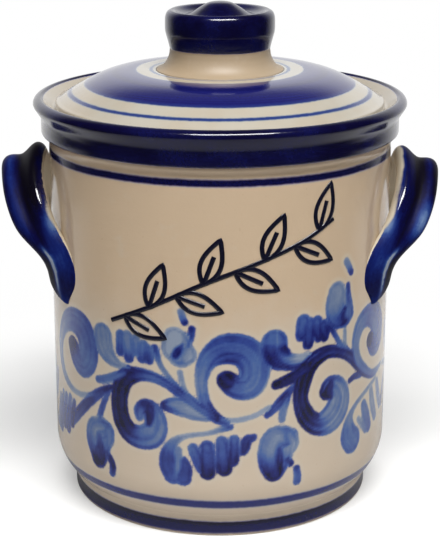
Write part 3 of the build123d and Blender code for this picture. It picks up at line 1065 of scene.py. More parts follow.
@dataclass
class Brushwork:
    """The vine on the unrolled wall, worked out at the wall's own vertices, in millimetres.

    Where a stroke overlaps what is there, its tone takes over from overlap_start inside its edge.
    """

    wall_radius: float = 90.0
    wall_depth: float = 4.0
    lowest: float = 27.5
    highest: float = 150.0
    reach: float = 4.0
    away: float = -6.0
    overlap_start: float = -0.7
    overlap_width: float = 2.4
    tint_start: float = -2.0
    rim: Hump = Hump(0.5, 1.1)
    rim_strength: float = 0.7
    rim_loss: float = 0.12
    load: float = 0.92
    streak_strength: float = 0.38
    bristles: int = 64
    bristles_per_mm: float = 0.8
    least_step: float = 1e-6
    seed: int = 7

    def lay(self, mesh: bpy.types.Mesh) -> None:
        """Write the cobalt's edge distance and tone on a mesh.

        Args:
            mesh: The crock, in metres about its axis.
        """
        places = places_of(mesh)
        height = places[:, 2]
        radius = np.hypot(places[:, 0], places[:, 1])
        on_belt = (height > self.lowest) & (height < self.highest)
        chosen = np.flatnonzero(on_belt & (radius > self.wall_radius - self.wall_depth))
        around = self.wall_radius * np.arctan2(places[chosen, 0], -places[chosen, 1])
        edge = np.full(len(places), self.away, np.float32)
        tone = np.zeros(len(places), np.float32)
        half_turn = pi * self.wall_radius
        strokes = [stroke for motif in VINE.values() for stroke in motif] + list(UNDER_HANDLE)
        for turn in (0, half_turn):
            shifted = (around - turn + half_turn) % (2 * half_turn) - half_turn
            unrolled = np.stack([shifted, height[chosen]], 1)
            for number, stroke in enumerate(strokes):
                self.brush(stroke, number, unrolled, chosen, edge, tone)
        write_marks(mesh, {Mark.EDGE: edge, Mark.TONE: tone})

    def brush(self, stroke: Stroke, number: int, unrolled: np.ndarray, chosen: np.ndarray,
              edge: np.ndarray, tone: np.ndarray) -> None:
        """Lay one stroke over what is there.

        Args:
            stroke: The stroke.
            number: Its place in the list, which seeds its streaks.
            unrolled: Place round the wall and height of each chosen vertex.
            chosen: Indices of the chosen vertices.
            edge: Distance inside the cobalt's edge of every vertex, changed here.
            tone: Tone of every vertex, changed here.
        """
        path = stroke.path()
        margin = path[:, 2].max() + self.reach
        low = path[:, :2].min(0) - margin
        high = path[:, :2].max(0) + margin
        near = np.flatnonzero(((unrolled > low) & (unrolled < high)).all(1))
        if not len(near):
            return
        away = unrolled[near, None] - path[None, :, :2]
        inside = path[None, :, 2] - np.hypot(away[..., 0], away[..., 1])
        best = inside.argmax(1)
        rows = np.arange(len(near))
        depth = inside[rows, best]
        heading = np.gradient(path[:, :2], axis=0)
        heading /= np.maximum(np.hypot(heading[:, 0], heading[:, 1]), self.least_step)[:, None]
        side = away[rows, best, 0] * heading[best, 1] - away[rows, best, 1] * heading[best, 0]
        streaks = stroke.streak * self.streaks(number, side)
        darkened = stroke.pooling * (self.rim.at(np.maximum(depth, 0)) * self.rim_strength - self.rim_loss)
        laid = np.clip(path[best, 3] * self.load + streaks + darkened, 0, 1)
        target = chosen[near]
        cover = np.clip((depth - self.overlap_start) / self.overlap_width, 0, 1)
        cover = cover * cover * (3 - 2 * cover)
        cover = np.where(edge[target] < self.overlap_start, 1.0, cover)
        mixed = tone[target] * (1 - cover) + laid * cover
        tone[target] = np.where(depth > self.tint_start, mixed, tone[target])
        edge[target] = np.maximum(edge[target], depth)

    def streaks(self, number: int, side: np.ndarray) -> np.ndarray:
        """Draw the streaks that uneven bristles leave.

        Args:
            number: The stroke's place in the list, which seeds its bristles.
            side: How far each point lies to the side of the brush's path.

        Returns:
            How much deeper or paler each point is.
        """
        bristles = np.random.default_rng(self.seed + number).normal(0, 1, self.bristles)
        lane = np.clip(side * self.bristles_per_mm + self.bristles / 2, 0, self.bristles - 2)
        first = lane.astype(int)
        share = lane - first
        return (bristles[first] * (1 - share) + bristles[first + 1] * share) * self.streak_strength


class GeometryTree(NodeTree):
    """A Geometry Nodes tree with named inputs, built node by node."""

    def __init__(self, name: str, inputs: tuple[tuple[str, str], ...]) -> None:
        """Start a tree.

        Args:
            name: The tree's name.
            inputs: Name and socket type of each input after the geometry.
        """
        super().__init__(bpy.data.node_groups.new(name, "GeometryNodeTree"))
        face = self.node_tree.interface
        face.new_socket("Geometry", in_out="INPUT", socket_type="NodeSocketGeometry")
        self.sockets = {
            label: face.new_socket(label, in_out="INPUT", socket_type=kind) for label, kind in inputs
        }
        face.new_socket("Geometry", in_out="OUTPUT", socket_type="NodeSocketGeometry")
        self.given = self.node("NodeGroupInput")

    def maths(self, operation: str, first: object, second: object = 0.0) -> bpy.types.NodeSocket:
        """Combine two numbers."""
        return self.node("ShaderNodeMath", {"operation": operation}, {0: first, 1: second}).outputs[0]

    def sample(self, kind: str, value: bpy.types.NodeSocket,
               index: bpy.types.NodeSocket) -> bpy.types.NodeSocket:
        """Read a value of the given geometry at one of its points.

        Args:
            kind: Data type of the value.
            value: The value.
            index: Index of the point.

        Returns:
            The value there.
        """
        return self.node("GeometryNodeSampleIndex", {"data_type": kind}, {
            "Geometry": self.given.outputs["Geometry"], "Value": value, "Index": index,
        }).outputs[0]

    def end(self, geometry: bpy.types.NodeSocket) -> None:
        """Shade smooth, realize, dress with the given finish and hand out the geometry.

        Args:
            geometry: The finished shape.
        """
        smooth = self.node("GeometryNodeSetShadeSmooth", None, {"Geometry": geometry})
        real = self.node("GeometryNodeRealizeInstances", None, {0: smooth.outputs[0]})
        dressed = self.node("GeometryNodeSetMaterial", None, {
            "Geometry": real.outputs[0], "Material": self.given.outputs["Finish"],
        })
        self.node("NodeGroupOutput", None, {0: dressed.outputs[0]})

    def apply(self, source: bpy.types.Object, values: dict, name: str) -> bpy.types.Object:
        """Run the tree on an object and keep the result as a plain mesh.

        Args:
            source: Object whose mesh the tree starts from. It is deleted.
            values: Value of each named input.
            name: Name of the finished piece.

        Returns:
            The finished piece, at the origin.
        """
        modifier = source.modifiers.new("rule", "NODES")
        modifier.node_group = self.node_tree
        for label, value in values.items():
            modifier[self.sockets[label].identifier] = value
        source.update_tag()
        evaluated = source.evaluated_get(bpy.context.evaluated_depsgraph_get())
        mesh = bpy.data.meshes.new_from_object(evaluated)
        source.modifiers.remove(modifier)
        bpy.data.objects.remove(source)
        mesh.name = name
        return add_piece(name, mesh)


def add_piece(name: str, mesh: bpy.types.Mesh) -> bpy.types.Object:
    """Put a mesh in the scene under a name.

    Args:
        name: The object's name.
        mesh: Its mesh.

    Returns:
        The object.
    """
    piece = bpy.data.objects.new(name, mesh)
    bpy.context.scene.collection.objects.link(piece)
    return piece


def wire_object(name: str, points: list, edges: list) -> bpy.types.Object:
    """Make an object of points and edges, in metres.

    Args:
        name: The object's name.
        points: Its points.
        edges: Pairs of indices of points.

    Returns:
        The object.
    """
    mesh = bpy.data.meshes.new(name)
    mesh.from_pydata([tuple(point) for point in points], edges, [])
    return add_piece(name, mesh)


class Outline:
    """Outline of a turned piece in millimetres, which runs out from under, up outside and down inside.

    The fold says how many neighbouring columns are drawn together at the points that come next.
    """

    def __init__(self, radius: float, height: float, fold: int) -> None:
        """Start at a point."""
        self.fold = fold
        self.points: list[tuple[float, float, int]] = [(radius, height, fold)]

    def line(self, radius: float, height: float, spacing: float = 3.0) -> None:
        """Run straight to a point, with rows about as far apart as the spacing.

        Args:
            radius: The point's distance from the axis.
            height: Its height.
            spacing: Distance between rows.
        """
        start = self.points[-1]
        length = hypot(radius - start[0], height - start[1])
        count = max(1, round(length / spacing))
        for step in range(1, count + 1):
            share = step / count
            place = (start[0] + (radius - start[0]) * share, start[1] + (height - start[1]) * share)
            self.points.append((*place, self.fold))

    def arc(self, centre: Point, radius: float, height: float, rows: int = 4) -> None:
        """Run round a centre to a point, the short way.

        Args:
            centre: The arc's centre.
            radius: The point's distance from the axis.
            height: Its height.
            rows: Number of steps.
        """
        start = self.points[-1]
        begin = atan2(start[1] - centre[1], start[0] - centre[0])
        finish = atan2(height - centre[1], radius - centre[0])
        turn = (finish - begin + pi) % (2 * pi) - pi
        first_reach = hypot(start[0] - centre[0], start[1] - centre[1])
        last_reach = hypot(radius - centre[0], height - centre[1])
        for step in range(1, rows + 1):
            share = step / rows
            reach = first_reach + (last_reach - first_reach) * share
            angle = begin + turn * share
            self.points.append((centre[0] + reach * cos(angle), centre[1] + reach * sin(angle), self.fold))

    def curve(self, points: list[Point], rows: int = 4) -> None:
        """Run smoothly through points, with some rows between each two.

        Args:
            points: The points, by distance from the axis and height.
            rows: Steps between each two.
        """
        places = np.array([self.points[-1][:2], *points], float)
        for span in spans(places):
            for radius, height in between(span, np.arange(1, rows + 1) / rows):
                self.points.append((float(radius), float(height), self.fold))


class Wheel:
    """The potter's wheel: turns an outline into a closed, smooth mesh by a Geometry Nodes rule."""

    def __init__(self) -> None:
        """Build the tree that places a grid's rows on the outline and its columns round the axis.

        Half is added before each rounding down, so that no vertex falls into the row or column before it.
        """
        rule = GeometryTree("turned form", (
            ("Columns", "NodeSocketInt"),
            ("Seam gap", "NodeSocketFloat"),
            ("Finish", "NodeSocketMaterial"),
        ))
        given = rule.given.outputs
        size = rule.node("GeometryNodeAttributeDomainSize", {"component": "MESH"}, {0: given["Geometry"]})
        rows = size.outputs["Point Count"]
        across = rule.maths("ADD", given["Columns"], 1)
        grid = rule.node("GeometryNodeMeshGrid", None, {"Vertices X": across, "Vertices Y": rows})
        index = rule.node("GeometryNodeInputIndex").outputs[0]
        column = rule.maths("FLOOR", rule.maths("DIVIDE", rule.maths("ADD", index, 0.5), rows))
        row = rule.maths("SUBTRACT", index, rule.maths("MULTIPLY", column, rows))
        place = rule.sample("FLOAT_VECTOR", rule.node("GeometryNodeInputPosition").outputs[0], row)
        folds = rule.node("GeometryNodeInputNamedAttribute", {"data_type": "FLOAT"}, {"Name": "fold"})
        fold = rule.sample("FLOAT", folds.outputs["Attribute"], row)
        whole_folds = rule.maths("FLOOR", rule.maths("DIVIDE", rule.maths("ADD", column, 0.5), fold))
        folded = rule.maths("MULTIPLY", fold, whole_folds)
        angle = rule.maths("MULTIPLY", rule.maths("DIVIDE", folded, given["Columns"]), 2 * pi)
        turned = rule.node("ShaderNodeVectorRotate", {"rotation_type": "Z_AXIS"}, {
            "Vector": place, "Angle": angle,
        })
        shaped = rule.node("GeometryNodeSetPosition", None, {
            "Geometry": grid.outputs["Mesh"], "Position": turned.outputs[0],
        })
        closed = rule.node("GeometryNodeMergeByDistance", None, {
            "Geometry": shaped.outputs[0], "Distance": given["Seam gap"],
        })
        rule.end(closed.outputs[0])
        self.rule = rule

    def turn(self, name: str, outline: Outline, columns: int, finish: Glaze) -> bpy.types.Object:
        """Turn an outline.

        Args:
            name: Name of the piece.
            outline: Its outline.
            columns: Number of columns round the axis.
            finish: Its finish.

        Returns:
            The piece.
        """
        points = [(radius * MM, 0, height * MM) for radius, height, _ in outline.points]
        source = wire_object(name + "_outline", points, [(i, i + 1) for i in range(len(points) - 1)])
        folds = source.data.attributes.new("fold", "FLOAT", "POINT")
        folds.data.foreach_set("value", [float(fold) for _, _, fold in outline.points])
        values = {"Columns": columns, "Seam gap": SEAM_GAP * MM, "Finish": finish.material()}
        return self.rule.apply(source, values, name)


@dataclass
class Crock:
    """The thrown crock, in millimetres."""

    foot_radius: float = 80.2
    foot_height: float = 11.5
    foot_edge_round: float = 1.6
    foot_ring_width: float = 9.0
    foot_recess: float = 3.5
    foot_recess_slope: float = 2.2
    body_radius: float = 90.0
    wall_thickness: float = 7.5
    turn_height: float = 33.0
    floor_thickness: float = 9.0
    inner_turn_radius: float = 24.0
    collar_height: float = 197.2
    collar_radius: float = 93.8
    collar_edge_round: float = 1.3
    lip_base_height: float = 205.2
    lip_overhang: float = 3.9
    rim_height: float = 216.1
    rim_top_width: float = 2.8
    gallery_height: float = 209.4
    gallery_radius: float = 87.0
    throat_radius: float = 79.0
    throat_depth: float = 6.0
    throat_slope_depth: float = 8.0
    belt_top: float = 152.0
    belt_spacing: float = 1.08
    columns: int = 512
    lip_shares: tuple[Point, ...] = ((0.14, 0.16), (0.62, 0.43), (1.0, 0.68), (0.74, 0.9), (0.08, 1.0))

    def outline(self) -> Outline:
        """Draw the crock's outline.

        Returns:
            The outline, from the middle of the underside to the middle of the floor inside.
        """
        drawn = Outline(0, self.foot_recess, fold=8)
        self.draw_foot(drawn)
        drawn.fold = 1
        drawn.line(self.body_radius, self.belt_top, self.belt_spacing)
        self.draw_collar(drawn)
        self.draw_inside(drawn)
        return drawn

    def draw_foot(self, drawn: Outline) -> None:
        """Draw the underside, the foot and the turn into the wall.

        Args:
            drawn: The outline so far, which goes on from its last point.
        """
        ring_inside = self.foot_radius - self.foot_ring_width
        drawn.line(ring_inside - self.foot_recess_slope, self.foot_recess, spacing=20)
        drawn.fold = 4
        drawn.line(ring_inside, 0)
        drawn.line(self.foot_radius - self.foot_edge_round, 0, spacing=4)
        edge = (self.foot_radius - self.foot_edge_round, self.foot_edge_round)
        drawn.arc(edge, self.foot_radius, self.foot_edge_round)
        drawn.line(self.foot_radius, self.foot_height, spacing=2.5)
        rise = self.turn_height - self.foot_height
        width = self.body_radius - self.foot_radius
        turn = (rise ** 2 + width ** 2) / (2 * width)
        drawn.fold = 2
        drawn.arc((self.body_radius - turn, self.turn_height), self.body_radius, self.turn_height, rows=12)

    def draw_collar(self, drawn: Outline) -> None:
        """Draw the wall above the vine, the collar and the lip.

        Args:
            drawn: The outline so far, which goes on from its last point.
        """
        drawn.fold = 2
        drawn.line(self.body_radius, self.collar_height, spacing=5)
        under = self.collar_radius - self.collar_edge_round
        drawn.line(under, self.collar_height, spacing=2)
        side = self.collar_height + self.collar_edge_round
        drawn.arc((under, side), self.collar_radius, side, rows=3)
        drawn.line(self.collar_radius, self.lip_base_height)
        rise = self.rim_height - self.lip_base_height
        lip = [(self.collar_radius + out * self.lip_overhang, self.lip_base_height + up * rise)
               for out, up in self.lip_shares]
        crown = (lip[-1][0] - self.rim_top_width / 2, self.rim_height - self.rim_top_width / 4)
        drawn.curve([*lip, crown], rows=3)

    def draw_inside(self, drawn: Outline) -> None:
        """Draw the gallery, the throat, the inner wall and the floor.

        Args:
            drawn: The outline so far, which goes on from its last point.
        """
        inner = self.body_radius - self.wall_thickness
        floor = self.foot_recess + self.floor_thickness
        throat = self.gallery_height - self.throat_depth
        drawn.fold = 4
        drawn.line(self.gallery_radius, self.gallery_height, spacing=2)
        drawn.line(self.throat_radius, self.gallery_height, spacing=4)
        drawn.line(self.throat_radius, throat)
        drawn.line(inner, throat - self.throat_slope_depth, spacing=4)
        centre = (inner - self.inner_turn_radius, floor + self.inner_turn_radius)
        drawn.line(inner, centre[1], spacing=20)
        drawn.arc(centre, centre[0], floor, rows=8)
        drawn.fold = 8
        drawn.line(0, floor, spacing=15)

    def build(self, wheel: Wheel) -> None:
        """Turn the crock, paint it and put it in its node's place.

        Args:
            wheel: The wheel that turns it.
        """
        piece = wheel.turn("crock_body", self.outline(), self.columns, BodyGlaze())
        Brushwork(self.body_radius).lay(piece.data)
        settle(piece, Body.CROCK, Slot.BODY, "crock")


@dataclass
class Lid:
    """The domed lid, in millimetres."""

    radius: float = 86.0
    seat_height: float = 209.4
    edge_thickness: float = 4.8
    edge_round: float = 1.2
    wall: float = 6.6
    dome_height: float = 14.8
    flat_radius: float = 37.0
    flange_radius: float = 77.5
    flange_width: float = 6.0
    flange_depth: float = 8.0
    flange_round: float = 1.6
    eye_radius: float = 17.7
    columns: int = 320
    dome_shares: tuple[Point, ...] = (
        (0.85, 0.24), (0.69, 0.525), (0.55, 0.75), (0.41, 0.895), (0.265, 0.972), (0.13, 0.998), (0.0, 1.0),
    )

    def outline(self) -> Outline:
        """Draw the lid's outline.

        Returns:
            The closed outline, from the underside of its eye round the edge and back over the dome.
        """
        edge_height = self.seat_height + self.edge_thickness
        top = edge_height + self.dome_height
        flange_inside = self.flange_radius - self.flange_width
        flange_foot = self.seat_height - self.flange_depth
        drawn = Outline(self.eye_radius, top - self.wall, fold=4)
        drawn.line(self.flat_radius, top - self.wall, spacing=8)
        middle = ((self.flat_radius + flange_inside) / 2, self.seat_height + self.dome_height / 2)
        drawn.curve([middle, (flange_inside, self.seat_height)], rows=6)
        drawn.fold = 2
        drawn.line(flange_inside, flange_foot)
        drawn.line(self.flange_radius - self.flange_round, flange_foot)
        corner = (self.flange_radius - self.flange_round, flange_foot + self.flange_round)
        drawn.arc(corner, self.flange_radius, corner[1])
        drawn.line(self.flange_radius, self.seat_height)
        drawn.line(self.radius, self.seat_height)
        drawn.fold = 1
        side_top = edge_height - self.edge_round
        drawn.line(self.radius, side_top, spacing=1.5)
        drawn.arc((self.radius - self.edge_round, side_top), self.radius - self.edge_round, edge_height)
        slope = self.radius - self.flat_radius
        dome = [(self.flat_radius + out * slope, edge_height + up * self.dome_height)
                for out, up in self.dome_shares]
        drawn.curve(dome, rows=5)
        drawn.fold = 2
        drawn.line(self.eye_radius, top, spacing=4)
        drawn.fold = 4
        drawn.line(self.eye_radius, top - self.wall)
        return drawn

    def build(self, wheel: Wheel) -> None:
        """Turn the lid and put it in its node's place."""
        piece = wheel.turn("lid_dome", self.outline(), self.columns, LidGlaze())
        settle(piece, Body.LID, Slot.LID, "lid")


@dataclass
class Knob:
    """The button knob on its flared neck, in millimetres."""

    base_height: float = 229.0
    foot_radius: float = 33.6
    neck_radius: float = 26.1
    neck_height: float = 11.0
    radius: float = 28.6
    height: float = 19.9
    point_rise: float = 4.4
    wall: float = 8.4
    columns: int = 256
    hollow_shares: tuple[Point, ...] = ((cos(pi / 4), 1 / 6), (1.0, 0.5))
    neck_shares: tuple[Point, ...] = ((0.42, 0.13), (0.74, 0.38), (0.94, 0.7), (1.0, 1.0))
    side_shares: tuple[Point, ...] = (
        (0.944, 0.18), (0.979, 0.36), (0.997, 0.48), (1.0, 0.65), (0.993, 0.83), (0.958, 0.945), (0.895, 1.0),
    )
    crown_shares: tuple[Point, ...] = (
        (0.825, -0.07), (0.717, -0.39), (0.612, -0.57), (0.507, -0.34), (0.367, 0.25), (0.227, 0.77),
        (0.105, 0.95), (0.0, 1.0),
    )

    def outline(self) -> Outline:
        """Draw the knob's outline.

        Returns:
            The outline, from the top of its hollow out under the foot and up to its point.
        """
        neck_top = self.base_height + self.neck_height
        rim = neck_top + self.height
        hollow = self.neck_radius - self.wall
        hollow_top = rim - self.wall
        narrowing = self.neck_radius - self.foot_radius
        drawn = Outline(0, hollow_top, fold=8)
        drawn.fold = 4
        drawn.curve([(out * hollow, hollow_top - down * hollow) for out, down in self.hollow_shares])
        drawn.line(hollow, self.base_height, spacing=5)
        drawn.fold = 2
        drawn.line(self.foot_radius, self.base_height, spacing=6)
        drawn.fold = 1
        drawn.curve([(self.foot_radius + inward * narrowing, self.base_height + up * self.neck_height)
                     for inward, up in self.neck_shares])
        drawn.curve([(out * self.radius, neck_top + up * self.height) for out, up in self.side_shares])
        drawn.curve([(out * self.radius, rim + up * self.point_rise) for out, up in self.crown_shares])
        return drawn

    def build(self, wheel: Wheel) -> None:
        """Turn the knob and put it in its node's place."""
        piece = wheel.turn("lid_button", self.outline(), self.columns, KnobGlaze())
        settle(piece, Body.LID, Slot.KNOB, "lid_knob")


@dataclass(frozen=True)
class Zone:
    """A stretch of a strap that differs from the rest.

    Shares across the strap run from its inner edge, and places along it are counted in the points of its
    edges, from its middle to a tail's tip.
    """

    change: float
    across: Even | Hump | Rise
    along: Even | Hump | Rise

    def at(self, across: np.ndarray, along: np.ndarray) -> np.ndarray:
        """Give the difference at each vertex."""
        return self.change * self.across.at(across) * self.along.at(along)


@dataclass(frozen=True)
class Strap:
    """What sets one handle off from the other: its set, how the brush ran over it, and how pale its painted
    sheen on the outer rib is.
    """

    node: str
    drop: float
    bare: float
    ridge_depth: float
    rib_depth: float
    rib_sheen_paleness: float


@dataclass
class Handles:
    """The two pulled straps, dressed on copies of their own solids, in millimetres.

    The strap's edges run from its middle to a tail's tip. Each point has a share of the tip angle, of
    the reach from the wall and of the rise from the tip, and the other half mirrors them. A painted
    highlight runs down the crest of each tail, where the cobalt pales and thins, and leans outwards
    above the tail's turn.
    """

    wall_radius: float = 90.0
    tip_height: float = 114.8
    tip_angle: float = 30.0
    reach: float = 24.0
    rise: float = 70.2
    width: float = 24.0
    weld_gap: float = 0.004
    stations_per_point: int = 12
    straps: tuple[Strap, ...] = (
        Strap("handle_left", 0.0, 0.0, 0.34, 0.0, 0.06),
        Strap("handle_right", 2.0, 0.1, 0.02, 0.2, 0.6),
    )
    inner_shares: tuple[Triple, ...] = (
        (0.0, 0.085, 1.0), (0.2, 0.115, 0.972), (0.37, 0.16, 0.91), (0.54, 0.17, 0.8),
        (0.69, 0.125, 0.665), (0.85, 0.06, 0.535), (1.02, -0.015, 0.43), (1.16, -0.05, 0.3),
        (1.16, -0.05, 0.14), (1.06, -0.095, 0.0),
    )
    outer_shares: tuple[Triple, ...] = (
        (0.0, 1.02, 0.84), (0.15, 0.99, 0.8), (0.285, 0.95, 0.715), (0.415, 0.875, 0.6),
        (0.54, 0.74, 0.48), (0.63, 0.5, 0.385), (0.67, 0.275, 0.295), (0.64, 0.14, 0.185),
        (0.64, 0.07, 0.07), (0.88, -0.08, -0.01),
    )
    tone: float = 0.8
    zones: tuple[Zone, ...] = (
        Zone(0.16, Hump(0.46, 0.1), Fall(5.2, 0.8)),
        Zone(-0.24, Hump(0.7, 0.09), Hump(0.4, 1.8)),
        Zone(-0.12, Hump(0.7, 0.07), Hump(3.2, 1.8)),
        Zone(-0.45, Hump(0.08, 0.13), Hump(4.7, 0.6)),
        Zone(-0.24, Hump(0.2, 0.2), Hump(6.3, 1.1)),
        Zone(-0.3, Even(), Rise(8.6, 0.5)),
        Zone(0.18, Rise(0.5, 0.04), Hump(6.9, 1.3)),
    )
    inner_ridge: Zone = Zone(1.0, Hump(0.2, 0.2), Fall(3.6, 1.0))
    outer_rib: Zone = Zone(1.0, Rise(0.4, 0.1), Fall(2.6, 0.6))
    # Painted sheen: a paler patch on the outer rib, where the glaze mirrors a dim light.
    rib_sheen: Zone = Zone(1.0, Hump(0.8, 0.16), Hump(3.6, 0.8))
    shiny: Zone = Zone(1.5, Hump(0.1, 0.2), Hump(3.5, 0.8))
    bare_along: Hump = Hump(0.0, 3.4)
    bare_turn: float = 0.08
    bare_turn_along: Hump = Hump(4.3, 0.8)
    face_overlap: float = 1.2
    back_share: float = 0.9
    face_soft: float = 2.4
    # Painted highlight: a pale line down each tail's crest.
    tail_ridge: Zone = Zone(1.0, Hump(0.47, 0.08), Rise(5.4, 0.3))
    tail_end: Fall = Fall(8.2, 0.6)
    tail_lean: float = 0.04
    tail_level: float = 7.0
    tail_turn: float = 6.3
    tail_turn_lean: float = 0.16
    # Painted highlight along each tail's crest: how much paler it is, how far the cobalt covers it, and how
    # much the highlight thins that cover.
    tail_highlight_paleness: float = 0.85
    tail_cover: float = 3.0
    tail_highlight_bareness: float = 2.6

    def build(self) -> None:
        """Dress both handles."""
        finish = HandleGlaze().material()
        for strap in self.straps:
            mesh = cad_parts[strap.node].data.copy()
            mesh.name = strap.node + "_strap"
            self.weld(mesh)
            mesh.materials.clear()
            mesh.materials.append(finish)
            self.mark(mesh, strap)
            settle(add_piece(mesh.name, mesh), Body.CROCK, Slot.HANDLES, strap.node)

    def weld(self, mesh: bpy.types.Mesh) -> None:
        """Join the loose triangles of a mesh and shade it smooth.

        Args:
            mesh: A copy of a strap's solid.
        """
        shape = bmesh.new()
        shape.from_mesh(mesh)
        bmesh.ops.remove_doubles(shape, verts=shape.verts, dist=self.weld_gap * MM)
        for face in shape.faces:
            face.smooth = True
        shape.to_mesh(mesh)
        shape.free()

    def edge_line(self, shares: tuple[Triple, ...], drop: float, along: np.ndarray) -> np.ndarray:
        """Follow one edge of the right strap's front half.

        Args:
            shares: The edge's points.
            drop: How much lower this strap is than the left one.
            along: Places along the edge, counted in points from the middle.

        Returns:
            Rows of places in millimetres.
        """
        table = np.array(shares)
        points = np.arange(len(table))
        angle, out, up = (np.interp(along, points, column) for column in table.T)
        angle = np.radians(angle * self.tip_angle)
        radius = self.wall_radius + out * self.reach
        height = self.tip_height + up * (self.rise - drop)
        return np.stack([radius * np.cos(angle), -radius * np.sin(angle), height], 1)

    def measure(self, places: np.ndarray, drop: float) -> tuple[np.ndarray, np.ndarray, np.ndarray]:
        """Find where points lie on a strap.

        Args:
            places: Rows of places in millimetres.
            drop: How much lower this strap is than the left one.

        Returns:
            Place along the strap, share of the way across it from the inner edge, and height above the
            middle of its thickness, towards its face.
        """
        count = len(self.inner_shares)
        stations = np.linspace(0, count - 1, self.stations_per_point * count)
        inner = self.edge_line(self.inner_shares, drop, stations)
        across = self.edge_line(self.outer_shares, drop, stations) - inner
        face = np.cross(np.gradient(inner + across / 2, axis=0), across)
        face /= np.linalg.norm(face, axis=1)[:, None]
        folded = np.stack([np.abs(places[:, 0]), -np.abs(places[:, 1]), places[:, 2]], 1)
        away = folded[:, None, :] - inner[None]
        share = (away * across[None]).sum(2) / (across ** 2).sum(1)[None]
        foot = away - np.clip(share, 0, 1)[..., None] * across[None]
        best = (foot ** 2).sum(2).argmin(1)
        rows = np.arange(len(places))
        return stations[best], share[rows, best], (foot[rows, best] * face[best]).sum(1)

    def mark(self, mesh: bpy.types.Mesh, strap: Strap) -> None:
        """Write where cobalt lies on a strap, how deep it is and where the glaze is dull.

        Args:
            mesh: The strap, in metres.
            strap: Which of the two it is.
        """
        along, across, lift = self.measure(places_of(mesh), strap.drop)
        bare = strap.bare * self.bare_along.at(along) + self.bare_turn * self.bare_turn_along.at(along)
        face_edge = (across - bare) * self.width + self.face_overlap
        back_edge = (across - self.back_share) * self.width
        on_face = np.clip(lift / self.face_soft + 0.5, 0, 1)
        edge = face_edge * on_face + back_edge * (1 - on_face)
        tone = self.tone + sum(zone.at(across, along) for zone in self.zones)
        tone += strap.ridge_depth * self.inner_ridge.at(across, along)
        tone += strap.rib_depth * self.outer_rib.at(across, along)
        # Paint the sheen on the outer rib as a paler patch.
        tone -= strap.rib_sheen_paleness * self.rib_sheen.at(across, along)
        lean = (along - self.tail_level) * self.tail_lean
        lean += np.maximum(self.tail_turn - along, 0) * self.tail_turn_lean
        # Painted highlight down each tail's crest: the cobalt thins towards bare clay and pales there.
        crest_highlight = self.tail_ridge.at(across - lean, along) * self.tail_end.at(along)
        write_marks(mesh, {
            Mark.EDGE: np.minimum(edge, self.tail_cover - self.tail_highlight_bareness * crest_highlight),
            Mark.TONE: tone - self.tail_highlight_paleness * crest_highlight,
            Mark.DULL: np.clip(1 - self.shiny.at(across, along), 0, 1),
            Mark.ACROSS: across,
            Mark.ALONG: along,
        })


